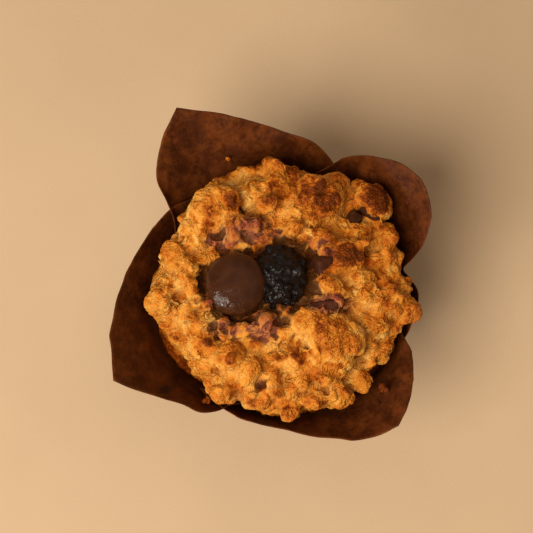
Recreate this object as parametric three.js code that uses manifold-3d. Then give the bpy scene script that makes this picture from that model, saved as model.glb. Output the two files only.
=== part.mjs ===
// A crumble-topped muffin in a tulip cup folded from one square of baking paper.
//
// Millimetres, Z up. The origin is the centre of the cup's flat foot.
// Angles are in degrees, counted from +X towards +Y.

import * as THREE from 'three';
import { ConvexGeometry } from 'three/addons/geometries/ConvexGeometry.js';
import Module from 'manifold-3d';

const wasm = await Module();
wasm.setup();

// ---------------------------------------------------------------- dimensions

const FOOT_RADIUS = 25;        // flat foot of the cup
const PAPER = 0.4;             // wall of the cup, far thicker than real paper
const FIT = 0.6;               // space between the cake and the paper
const GAP = 0.35;              // space around everything pressed into the cake

const CRUST_FLOOR = 49.5;      // where the crust swells out over the paper's folds
const CRUST_EDGE = 56.5;       // widest part of the crust
const CRUST_TOP = 70.0;        // top of the crust, without its lumps

const BUTTON_RADIUS = 9.3;     // melted chocolate button
const BUTTON_THICKNESS = 7.0;
const BUTTON_TILT = [3, -5, 0];
const BUTTON_PLACE = [-13.1, -0.9, 68.2];
const BERRY_SIZE = [17.4, 19.2, 15.0];
const BERRY_PLACE = [1, 1.9, 66.2];
const DRUPELET = 2.3;          // radius of one of the berry's beads

const PROFILE_STEPS = 11;      // rows up the paper
const CAKE_COLUMNS = 72;       // columns round the cake

// The paper's edge, one entry for each side of the square, corner to corner.
// Each point is [angle, radius, height]. A side dips between its two corners,
// and there the spare paper is folded on itself: the first run ends at a crease,
// the second runs back to another, and the third goes on over both.
const PAPER_EDGE = [
  {
    first: [
      [36, 52.5, 69], [44, 51.5, 68], [52, 49.5, 63.5], [62, 45.8, 57], [68, 41.5, 53],
      [75, 37.3, 50.5], [82, 36, 49],
    ],
    second: [[82, 36, 49], [72, 38.2, 48.6], [58, 39.8, 48.6]],
    third: [
      [58, 39.8, 48.6], [66, 42.6, 51.5], [76, 46.2, 56.5], [88, 47.4, 60.5], [105, 52.7, 66],
      [120.7, 60.7, 72],
    ],
  },
  {
    first: [
      [120.7, 60.7, 72], [128, 56.5, 69.5], [134.5, 52.7, 66], [139, 49.3, 61.5], [142.6, 43.4, 55.5],
      [148, 38.2, 51.5], [157, 35.4, 49],
    ],
    second: [[157, 35.4, 49], [147, 38.3, 48.6], [131, 39.6, 48.6]],
    third: [
      [131, 39.6, 48.6], [137, 40.6, 50.5], [146, 42.2, 54], [158, 43.5, 56.5], [176.4, 46.9, 62],
      [192.6, 51.1, 66], [202.2, 53.8, 68.3], [211, 57, 70],
    ],
  },
  {
    first: [
      [211, 57, 70], [218.4, 52.7, 68], [229.8, 46.6, 62.5], [237.8, 45.1, 60], [242.6, 42.4, 56.5],
      [247, 38.3, 51.5], [257, 35.4, 49],
    ],
    second: [[257, 35.4, 49], [247, 37.8, 48.6], [231, 39, 48.6]],
    third: [
      [231, 39, 48.6], [237, 39.6, 50.5], [246, 40.4, 54], [257.4, 41.6, 57], [273.8, 43.8, 60],
      [288, 47.9, 62.5], [299.8, 53.1, 66.5], [308.9, 54.8, 70],
    ],
  },
  {
    first: [
      [308.9, 54.8, 70], [315.5, 52.3, 68], [322.3, 49.8, 65], [332, 45, 60], [338, 41, 55],
      [343, 37.8, 51.3], [352, 35.6, 49],
    ],
    second: [[352, 35.6, 49], [343, 37.7, 48.5], [331, 39.6, 48.3]],
    third: [
      [331, 39.6, 48.3], [338, 41.2, 49.6], [348, 42.0, 51], [358.5, 42.4, 52.2], [365, 39.8, 52.4],
      [369, 38.4, 53], [372, 40.6, 56], [376, 45, 61], [382, 48.6, 65.5], [389, 51.2, 68.5],
      [396, 52.5, 69],
    ],
  },
];
const RUN_STEPS = { first: 7, second: 3, third: 11 };

// Crust outline at its widest, one radius every 15 degrees.
const CRUST_OUTLINE = [
  41, 38, 38.5, 41.4, 38.2, 37, 39.2, 38.8, 39.4, 38.6, 36, 37.4,
  40.3, 38.4, 36, 36.2, 39.2, 38.6, 39.2, 39.6, 40, 37.5, 37, 40.5,
];

// Lumps of crumble baked onto the crust: [x, y, radius, rise].
const CRUMBLE_LUMPS = [
  [17.6, -16.9, 10.5, 4.2],
  [11.3, 24.6, 8.5, 3.8],
  [28.7, 24.8, 7, 3.4],
  [19.3, 7.9, 6.6, 4],
  [13.2, -2.5, 5.5, 2.6],
  [-22, 21.3, 9, 3.4],
  [-4.6, 30, 7, 2.4],
  [-7, 22, 7, 2],
  [-34.5, -5, 6, 2.6],
  [-24.5, -12, 7, 2.4],
  [-17.3, -22.2, 5, 3],
  [-9.3, -25.5, 4.8, 2.6],
  [-14, -31, 5, 2.2],
  [3, -35, 4.6, 2.4],
  [17.9, -32, 5, 2.4],
  [33, -6, 6.5, 3.4],
  [0, -20, 7, 1.4],
];

// Chocolate chunks in the crumble: [x, y, length, width, thickness, turn, sunk].
const CHUNKS = [
  [13.0, -7.2, 9.2, 3.4, 3.6, 6, 1.2],
  [12.9, 5.4, 5.0, 4.2, 4.2, 30, 1.8],
  [28.6, 23.4, 5.6, 6.4, 4.4, 38, 2.0],
  [22.4, 20.0, 4.6, 3.2, 3.6, -40, 1.4],
];

// Crumbs that have dropped onto the paper: [angle, share of the way up, size].
const CRUMBS = [
  [235, 0.9, 3.2],
  [313, 0.82, 3.6],
  [113.7, 0.765, 1.8],
];

// --------------------------------------------------------------------- tools

const toRadians = THREE.MathUtils.degToRad;

function polar(angle, radius, height) {
  const a = toRadians(angle);
  return new THREE.Vector3(radius * Math.cos(a), radius * Math.sin(a), height);
}

// Eases from 0 at one value to 1 at another, which may be the lower of the two.
function ease(from, to, value) {
  const share = THREE.MathUtils.clamp((value - from) / (to - from), 0, 1);
  return share * share * (3 - 2 * share);
}

// A repeatable scatter of numbers between -1 and 1.
function scatter(index, channel = 0) {
  const s = Math.sin(index * 127.1 + channel * 311.7 + 17.3) * 43758.5453;
  return 2 * (s - Math.floor(s)) - 1;
}

function solidFrom(vertices, triangles) {
  const mesh = new wasm.Mesh({
    numProp: 3,
    vertProperties: new Float32Array(vertices),
    triVerts: new Uint32Array(triangles),
  });
  mesh.merge();
  return new wasm.Manifold(mesh);
}

function solidFromGeometry(geometry) {
  const position = geometry.attributes.position;
  const index = geometry.index ? [...geometry.index.array] : [...Array(position.count).keys()];
  return solidFrom([...position.array], index);
}

function geometryFrom(solid) {
  const mesh = solid.getMesh();
  const geometry = new THREE.BufferGeometry();
  const positions = new Float32Array(mesh.numVert * 3);
  for (let i = 0; i < mesh.numVert; i += 1) {
    for (let k = 0; k < 3; k += 1) {
      positions[3 * i + k] = mesh.vertProperties[mesh.numProp * i + k];
    }
  }
  geometry.setAttribute('position', new THREE.BufferAttribute(positions, 3));
  geometry.setIndex([...mesh.triVerts]);
  geometry.computeVertexNormals();
  return geometry;
}

// --------------------------------------------------------------- paper cup

// Columns round the cup. Each holds where its paper ends and, on the foot, starts.
function paperColumns() {
  const columns = [];
  for (const side of PAPER_EDGE) {
    const runs = ['first', 'second', 'third'].map((name) => {
      const points = side[name].map((p) => polar(...p));
      const curve = new THREE.CatmullRomCurve3(points, false, 'centripetal');
      const spaced = curve.getSpacedPoints(RUN_STEPS[name]);
      return { length: curve.getLength(), spaced };
    });
    const total = runs.reduce((sum, run) => sum + run.length, 0);
    const start = side.first[0][0];
    const turn = side.third.at(-1)[0] - start;
    let done = 0;
    let angle = start;
    for (const run of runs) {
      const steps = run.spaced.length - 1;
      for (let i = 0; i < steps; i += 1) {
        const point = run.spaced[i];
        const raw = THREE.MathUtils.radToDeg(Math.atan2(point.y, point.x));
        angle = raw + 360 * Math.round((angle - raw) / 360);
        columns.push({
          footAngle: start + turn * (done + (run.length * i) / steps) / total,
          angle,
          radius: Math.hypot(point.x, point.y),
          height: point.z,
        });
      }
      done += run.length;
    }
  }
  return columns;
}

// A point on one column, from the foot (share 0) to the paper's edge (share 1).
// Creased columns keep to their own layer, so folded paper never meets itself.
function paperPoint(column, share) {
  const creased = ease(60, 50, column.height);
  const layer = creased * (column.radius - 40);
  const shoulder = 0.72 * column.height;
  const profile = new THREE.CubicBezierCurve(
    new THREE.Vector2(FOOT_RADIUS - PAPER / 2, PAPER / 2),
    new THREE.Vector2(FOOT_RADIUS + 4.8 + 0.25 * layer, 20),
    new THREE.Vector2(FOOT_RADIUS + 0.28 * shoulder + 0.65 * layer, shoulder),
    new THREE.Vector2(column.radius, column.height),
  ).getPoint(share);
  const turned = ease(0.15, 1, share);
  const angle = column.footAngle + (column.angle - column.footAngle) * turned;
  return polar(angle, profile.x, profile.y);
}

function paperGrid() {
  const columns = paperColumns();
  return columns.map((column) => {
    const rows = [];
    for (let j = 0; j <= PROFILE_STEPS; j += 1) {
      rows.push(paperPoint(column, j / PROFILE_STEPS));
    }
    return rows;
  });
}

// Two skins, half the paper's thickness to each side of the grid, closed by the
// edge at the top and the flat foot below.
function makeCup(grid) {
  const count = grid.length;
  const vertices = [];
  const skins = [1, -1].map((side) => grid.map((rows, i) => rows.map((point, j) => {
    if (j === 0) {
      const foot = Math.atan2(point.y, point.x);
      const radius = side > 0 ? FOOT_RADIUS : FOOT_RADIUS - PAPER;
      vertices.push(radius * Math.cos(foot), radius * Math.sin(foot), side > 0 ? 0 : PAPER);
      return vertices.length / 3 - 1;
    }
    const before = grid[(i + count - 1) % count][j];
    const after = grid[(i + 1) % count][j];
    const along = after.clone().sub(before);
    const up = rows[Math.min(j + 1, PROFILE_STEPS)].clone().sub(rows[j - 1]);
    const normal = along.cross(up).normalize();
    const moved = point.clone().addScaledVector(normal, (side * PAPER) / 2);
    vertices.push(moved.x, moved.y, moved.z);
    return vertices.length / 3 - 1;
  })));
  const triangles = [];
  const [outer, inner] = skins;
  vertices.push(0, 0, 0, 0, 0, PAPER);
  const footBelow = vertices.length / 3 - 2;
  const footAbove = footBelow + 1;
  for (let i = 0; i < count; i += 1) {
    const n = (i + 1) % count;
    for (let j = 0; j < PROFILE_STEPS; j += 1) {
      triangles.push(outer[i][j], outer[n][j], outer[n][j + 1]);
      triangles.push(outer[i][j], outer[n][j + 1], outer[i][j + 1]);
      triangles.push(inner[i][j], inner[n][j + 1], inner[n][j]);
      triangles.push(inner[i][j], inner[i][j + 1], inner[n][j + 1]);
    }
    const top = PROFILE_STEPS;
    triangles.push(outer[i][top], outer[n][top], inner[n][top]);
    triangles.push(outer[i][top], inner[n][top], inner[i][top]);
    triangles.push(footBelow, outer[n][0], outer[i][0]);
    triangles.push(footAbove, inner[i][0], inner[n][0]);
  }
  return solidFrom(vertices, triangles);
}

// ------------------------------------------------------------------- cake

// The paper's layout at one height: [angle, radius] down the columns, or null
// where the paper stops below that height.
function paperAtHeight(grid, height) {
  return grid.map((rows) => {
    for (let j = 0; j < PROFILE_STEPS; j += 1) {
      const [low, high] = [rows[j], rows[j + 1]];
      if (height >= low.z && height <= high.z) {
        const point = low.clone().lerp(high, (height - low.z) / (high.z - low.z));
        return [Math.atan2(point.y, point.x), Math.hypot(point.x, point.y)];
      }
    }
    return null;
  });
}

// Radius of the innermost layer of paper in one direction.
function innermost(layout, angle, otherwise) {
  let best = otherwise;
  for (let i = 0; i < layout.length; i += 1) {
    const a = layout[i];
    const b = layout[(i + 1) % layout.length];
    if (a && b) {
      const toA = Math.atan2(Math.sin(a[0] - angle), Math.cos(a[0] - angle));
      const toB = Math.atan2(Math.sin(b[0] - angle), Math.cos(b[0] - angle));
      if (toA * toB <= 0 && Math.abs(toA - toB) < 1) {
        const share = toA === toB ? 0 : toA / (toA - toB);
        best = Math.min(best, a[1] + (b[1] - a[1]) * share);
      }
    }
  }
  return best;
}

// The widest the cake can be in one direction, clear of any paper beside it.
function insidePaper(grid, angle, radius, height) {
  let widest = radius;
  for (const step of [-2, -1, 0, 1]) {
    const layout = paperAtHeight(grid, height + step);
    for (const turn of [-4, -2, 0, 2, 4]) {
      const paper = innermost(layout, toRadians(angle + turn), 99);
      widest = Math.min(widest, paper - PAPER / 2 - FIT);
    }
  }
  return widest;
}

function crustOutline(angle) {
  const step = 360 / CRUST_OUTLINE.length;
  const place = THREE.MathUtils.euclideanModulo(angle, 360) / step;
  const index = Math.floor(place);
  const count = CRUST_OUTLINE.length;
  const here = CRUST_OUTLINE[index % count];
  const next = CRUST_OUTLINE[(index + 1) % count];
  return THREE.MathUtils.lerp(here, next, place - index);
}

function lumpHeight(x, y) {
  let rise = 0;
  for (const [cx, cy, radius, height] of CRUMBLE_LUMPS) {
    const away = Math.hypot(x - cx, y - cy) / radius;
    if (away < 1.2) {
      rise = Math.max(rise, height * Math.sqrt(Math.max(0, 1 - (away / 1.2) ** 2)));
    }
  }
  return rise;
}

// Height of the crust over a point of its plan, as a share 0..1 of its outline.
function crustHeight(share) {
  return CRUST_EDGE + (CRUST_TOP - CRUST_EDGE) * Math.sqrt(Math.max(0, 1 - share ** 2.3));
}

function makeCakeBody(grid) {
  const rings = [];
  const wallHeights = [PAPER + GAP, 6, 13, 20, 27, 34, 40, 45, CRUST_FLOOR - 1];
  for (const height of wallHeights) {
    rings.push((angle) => [insidePaper(grid, angle, 60, Math.max(height, PAPER + 2)), height]);
  }
  const neck = rings.at(-1);
  for (const share of [0.35, 0.7, 1]) {
    rings.push((angle) => {
      const [inside] = neck(angle);
      const edge = crustOutline(angle);
      const height = CRUST_FLOOR + (CRUST_EDGE - CRUST_FLOOR) * (share ** 1.6) + 0.6;
      const radius = inside + (edge - inside) * Math.sin(share * Math.PI / 2);
      return [insidePaper(grid, angle, radius, height), height];
    });
  }
  for (const share of [0.985, 0.94, 0.87, 0.79, 0.7, 0.61, 0.52, 0.43, 0.34, 0.25, 0.16, 0.08]) {
    rings.push((angle) => {
      const radius = crustOutline(angle) * share;
      const a = toRadians(angle);
      const lump = lumpHeight(radius * Math.cos(a), radius * Math.sin(a));
      const height = crustHeight(share) + lump * ease(1, 0.9, share);
      return [insidePaper(grid, angle, radius, height), height];
    });
  }
  const vertices = [];
  for (const ring of rings) {
    for (let i = 0; i < CAKE_COLUMNS; i += 1) {
      const angle = (360 * i) / CAKE_COLUMNS;
      const [radius, height] = ring(angle);
      vertices.push(...polar(angle, radius, height).toArray());
    }
  }
  vertices.push(0, 0, wallHeights[0], 0, 0, crustHeight(0) + lumpHeight(0, 0));
  const below = rings.length * CAKE_COLUMNS;
  const triangles = [];
  for (let i = 0; i < CAKE_COLUMNS; i += 1) {
    const n = (i + 1) % CAKE_COLUMNS;
    for (let j = 0; j < rings.length - 1; j += 1) {
      const a = j * CAKE_COLUMNS;
      const b = a + CAKE_COLUMNS;
      triangles.push(a + i, a + n, b + n, a + i, b + n, b + i);
    }
    const last = (rings.length - 1) * CAKE_COLUMNS;
    triangles.push(below, n, i, below + 1, last + i, last + n);
  }
  return solidFrom(vertices, triangles);
}

// Height of the crust and its lumps above a point of the plan.
function topAt(x, y) {
  const angle = THREE.MathUtils.radToDeg(Math.atan2(y, x));
  const share = Math.hypot(x, y) / crustOutline(angle);
  return crustHeight(share) + lumpHeight(x, y);
}

// ---------------------------------------------------------------- toppings

// A button of chocolate: a flat round base, a rolled edge and a low dome.
function makeButton(grow) {
  const radius = BUTTON_RADIUS + grow;
  const edge = 0.22 * BUTTON_THICKNESS;
  const rise = BUTTON_THICKNESS + grow - edge;
  const points = [
    new THREE.Vector2(0, -grow),
    new THREE.Vector2(0.9 * radius, -grow),
    new THREE.Vector2(0.97 * radius, 0.3 * edge),
  ];
  const steps = 8;
  for (let i = 0; i <= steps; i += 1) {
    const a = (i / steps) * (Math.PI / 2);
    points.push(new THREE.Vector2(radius * Math.cos(a), edge + rise * Math.sin(a)));
  }
  const geometry = new THREE.LatheGeometry(points, 36).rotateX(Math.PI / 2);
  return solidFromGeometry(geometry).rotate(BUTTON_TILT).translate(BUTTON_PLACE);
}

// A bramble berry: a core with rows of round beads standing out of it. The grown
// one is the plain pocket that holds it.
function makeBerry(grow) {
  const half = BERRY_SIZE.map((size) => size / 2 + grow);
  if (grow > 0) {
    return wasm.Manifold.sphere(1, 24).scale(half).translate(BERRY_PLACE);
  }
  const middles = half.map((size) => size - DRUPELET);
  let berry = wasm.Manifold.sphere(1, 20).scale(half.map((size) => size - 1.3));
  for (const [tilt, count] of [[0, 1], [36, 6], [66, 9], [96, 10]]) {
    for (let i = 0; i < count; i += 1) {
      const around = (360 / count) * (i + 0.25);
      const out = Math.sin(toRadians(tilt));
      const place = polar(around, out, Math.cos(toRadians(tilt)));
      place.multiply(new THREE.Vector3(...middles));
      berry = berry.add(wasm.Manifold.sphere(DRUPELET, 8).translate(place.toArray()));
    }
  }
  return berry.translate(BERRY_PLACE);
}

// A broken chunk of chocolate: a block with its corners knocked about.
function makeChunk(row, index, grow) {
  const [x, y, length, width, thickness, turn, sunk] = row;
  const points = [];
  for (let corner = 0; corner < 8; corner += 1) {
    const sides = [corner & 1, corner & 2, corner & 4].map((bit) => (bit ? 0.5 : -0.5));
    const knock = [0, 1, 2].map((k) => 1 - 0.14 * Math.abs(scatter(8 * index + corner, k)));
    points.push(new THREE.Vector3(
      sides[0] * (length * knock[0] + 2 * grow),
      sides[1] * (width * knock[1] + 2 * grow),
      sides[2] * (thickness * knock[2] + 2 * grow),
    ));
  }
  const block = solidFromGeometry(new ConvexGeometry(points));
  return block.rotate([6, -5, turn]).translate([x, y, topAt(x, y) - sunk]);
}

// A loose crumb: a small uneven pebble resting on the paper.
function makeCrumb(grid, row, index) {
  const [angle, share, size] = row;
  const points = [];
  const count = 26;
  for (let i = 0; i < count; i += 1) {
    const up = 1 - (2 * i + 1) / count;
    const around = i * 2.39996;
    const out = Math.sqrt(1 - up * up);
    const radius = (size / 2) * (1 + 0.16 * scatter(i, index));
    points.push(new THREE.Vector3(
      1.25 * radius * out * Math.cos(around),
      radius * out * Math.sin(around),
      0.7 * radius * up,
    ));
  }
  const columns = paperColumns();
  const nearest = columns.reduce((best, column) => {
    const off = Math.abs(THREE.MathUtils.euclideanModulo(column.angle - angle + 180, 360) - 180);
    return off < best.off && column.height > 58 ? { off, column } : best;
  }, { off: 999, column: null }).column;
  const low = paperPoint(nearest, share - 0.02);
  const high = paperPoint(nearest, share + 0.02);
  const up = high.clone().sub(low).normalize();
  const around = new THREE.Vector3(-low.y, low.x, 0).normalize();
  const normal = up.clone().cross(around).normalize();
  if (normal.dot(new THREE.Vector3(low.x, low.y, 0)) > 0) {
    normal.negate();
  }
  const lift = PAPER / 2 + 0.3 + 0.45 * size;
  const place = low.clone().add(high).multiplyScalar(0.5).addScaledVector(normal, lift);
  const basis = new THREE.Matrix4().makeBasis(around, normal.clone().cross(around), normal);
  const geometry = new ConvexGeometry(points).applyMatrix4(basis);
  return solidFromGeometry(geometry.translate(place.x, place.y, place.z));
}

// ---------------------------------------------------------------- assembly

const muffin = new THREE.Group();
muffin.name = 'muffin';

function addPart(name, solid, color, roughness, metalness = 0) {
  const material = new THREE.MeshStandardMaterial({ color, roughness, metalness });
  const mesh = new THREE.Mesh(geometryFrom(solid), material);
  mesh.name = name;
  muffin.add(mesh);
}

const grid = paperGrid();
const button = makeButton(0);
const berry = makeBerry(0).subtract(makeButton(GAP));
const chunks = CHUNKS.map((row, index) => makeChunk(row, index, 0));

let cake = makeCakeBody(grid);
cake = cake.subtract(makeButton(GAP));
cake = cake.subtract(makeBerry(GAP));
CHUNKS.forEach((row, index) => {
  cake = cake.subtract(makeChunk(row, index, GAP));
});

addPart('tulip_wrapper', makeCup(grid), 0x5a2c14, 0.75);
addPart('muffin_cake', cake, 0xb9722c, 0.9);
addPart('chocolate_button', button, 0x3a1b10, 0.3);
addPart('bramble_berry', berry, 0x14101a, 0.25);
chunks.forEach((chunk, index) => {
  addPart(`chocolate_chunk_${index + 1}`, chunk, 0x2c140c, 0.45);
});
CRUMBS.forEach((row, index) => {
  addPart(`loose_crumb_${index + 1}`, makeCrumb(grid, row, index), 0xc07a34, 0.9);
});

export default muffin;
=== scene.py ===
import math
from contextlib import contextmanager

import bmesh
import bpy
import numpy as np
from bpy.props import FloatProperty, FloatVectorProperty, IntProperty, PointerProperty
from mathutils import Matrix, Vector
from mathutils.bvhtree import BVHTree
from mathutils.kdtree import KDTree


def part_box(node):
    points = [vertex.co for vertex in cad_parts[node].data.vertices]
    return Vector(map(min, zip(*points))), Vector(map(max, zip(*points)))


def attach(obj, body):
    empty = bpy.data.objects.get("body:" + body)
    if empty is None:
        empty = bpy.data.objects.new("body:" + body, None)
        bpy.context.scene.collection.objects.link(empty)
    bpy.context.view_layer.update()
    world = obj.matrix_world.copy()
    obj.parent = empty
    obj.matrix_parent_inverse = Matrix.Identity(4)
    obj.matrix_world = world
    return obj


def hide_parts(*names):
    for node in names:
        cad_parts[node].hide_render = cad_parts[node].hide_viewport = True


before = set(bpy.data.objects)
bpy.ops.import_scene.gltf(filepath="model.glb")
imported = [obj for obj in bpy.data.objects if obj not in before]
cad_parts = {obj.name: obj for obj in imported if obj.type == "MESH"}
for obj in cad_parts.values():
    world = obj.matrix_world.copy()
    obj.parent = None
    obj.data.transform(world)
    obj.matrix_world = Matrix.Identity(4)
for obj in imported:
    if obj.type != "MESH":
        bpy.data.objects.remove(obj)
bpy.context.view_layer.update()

bl_info = {
    "name": "Tulip Cup Muffin",
    "version": (1, 0, 0),
    "blender": (4, 5, 0),
    "location": "3D View > Sidebar > Muffin",
    "description": "Builds a crumble-topped muffin in a folded paper tulip cup",
    "category": "Add Mesh",
}

MM = 0.001
GOLDEN_TURN = math.pi * (3 - math.sqrt(5))

# Sizes in millimetres.
CUT_LEVEL = 45.0  # the crumble ends here, and the plain sponge goes on below
CRUST_EDGE = 56.5  # height where the crust is widest
PAPER_GAP = 0.35  # least room between the crumble and the paper
PAPER_FOLD = (40, 60, 50)  # radius of a fold, heights where folding starts and is full
LUMP_STAND = 1.55  # how much further lumps stand out than their table says
LARGE_LUMP = 4.5  # half length from which a lump keeps most crumbs off its top
SMOOTH_LUMP = (-8.8, -26.0, 3.6)  # place and radius that crumbs stay out of
BERRY_GRAIN, LOOSE_GRAIN = 0.27, 0.16  # finest detail of these meshes
DRUPELETS, DRUPELET_RADIUS = 120, 1.5
BERRY_SHIFT = (1.1, 0, 0)  # how far the berry tucks under the button's edge
BUTTON_ABOVE, BUTTON_BELOW = 5.1, 2.2  # the button's thickness over and under its rim
CHUNK_SUNK = (1.8, 1.1, 1.7, 2.3)

# Shares from 0 to 1.
CRUMB_BAKE = (0.78, 0.95, 0.6)  # how dark each loose crumb is
CHUNK_WARM = (0.6, 0.4, 0.0, 0.0)  # how reddened by juice each chunk is
# The hidden sponge's stored numbers, with a flat painted shade over all of it.
SPONGE_LOOK = {"bake": 0.25, "hollow": 0.3, "juice": 0, "soaked": 0, "nubbly": 0.3, "dip": 0.5}


def box_mm(node):
    """Lowest and highest corners of one of the frame's nodes, in millimetres."""
    low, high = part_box(node)
    return np.array(low) / MM, np.array(high) / MM


# The stage, in metres and degrees. A light has its turn, rise, distance from the
# aim, size, power in watts and colour.
AIM = (-0.0041, 0.0066, 0.055)
CAMERA_TILT, CAMERA_AWAY = 8.6, 0.4544
LIGHTS = (
    ("window", 225, 60, 0.85, 0.50, 8.6, (1.0, 0.91, 0.76)),
    ("low_window", 224, 28, 0.90, 0.26, 3.4, (1.0, 0.92, 0.80)),
    ("ceiling", 60, 74, 0.95, 0.90, 2.0, (1.0, 0.86, 0.68)),
)

# The paper's edge, one entry for each side of the square, corner to corner, as
# (angle in degrees, radius, height) in millimetres. A side dips between its two
# corners, and there the spare paper folds back on itself: the first run ends at
# a crease, the second runs back to another, and the third goes on over both.
PAPER_EDGE = (
    (
        ((36, 52.5, 69), (44, 51.5, 68), (52, 49.5, 63.5), (62, 45.8, 57), (68, 41.5, 53),
         (75, 37.3, 50.5), (82, 36, 49)),
        ((82, 36, 49), (72, 38.2, 48.6), (58, 39.8, 48.6)),
        ((58, 39.8, 48.6), (66, 42.6, 51.5), (76, 46.2, 56.5), (88, 47.4, 60.5), (105, 52.7, 66),
         (120.7, 60.7, 72)),
    ),
    (
        ((120.7, 60.7, 72), (128, 56.5, 69.5), (134.5, 52.7, 66), (139, 49.3, 61.5),
         (142.6, 43.4, 55.5), (148, 38.2, 51.5), (157, 35.4, 49)),
        ((157, 35.4, 49), (147, 38.3, 48.6), (131, 39.6, 48.6)),
        ((131, 39.6, 48.6), (137, 40.6, 50.5), (146, 42.2, 54), (158, 43.5, 56.5),
         (176.4, 46.9, 62), (192.6, 51.1, 66), (202.2, 53.8, 68.3), (211, 57, 70)),
    ),
    (
        ((211, 57, 70), (218.4, 52.7, 68), (229.8, 46.6, 62.5), (237.8, 45.1, 60),
         (242.6, 42.4, 56.5), (247, 38.3, 51.5), (257, 35.4, 49)),
        ((257, 35.4, 49), (247, 37.8, 48.6), (231, 39, 48.6)),
        ((231, 39, 48.6), (237, 39.6, 50.5), (246, 40.4, 54), (257.4, 41.6, 57),
         (273.8, 43.8, 60), (288, 47.9, 62.5), (299.8, 53.1, 66.5), (308.9, 54.8, 70)),
    ),
    (
        ((308.9, 54.8, 70), (315.5, 52.3, 68), (322.3, 49.8, 65), (332, 45, 60), (338, 41, 55),
         (343, 37.8, 51.3), (352, 35.6, 49)),
        ((352, 35.6, 49), (343, 37.7, 48.5), (331, 39.6, 48.3)),
        ((331, 39.6, 48.3), (338, 41.2, 49.6), (348, 42.0, 51), (358.5, 42.4, 52.2),
         (365, 39.8, 52.4), (369, 38.4, 53), (372, 40.6, 56), (376, 45, 61), (382, 48.6, 65.5),
         (389, 51.2, 68.5), (396, 52.5, 69)),
    ),
)
RUN_COLUMNS = (34, 14, 66)

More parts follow.
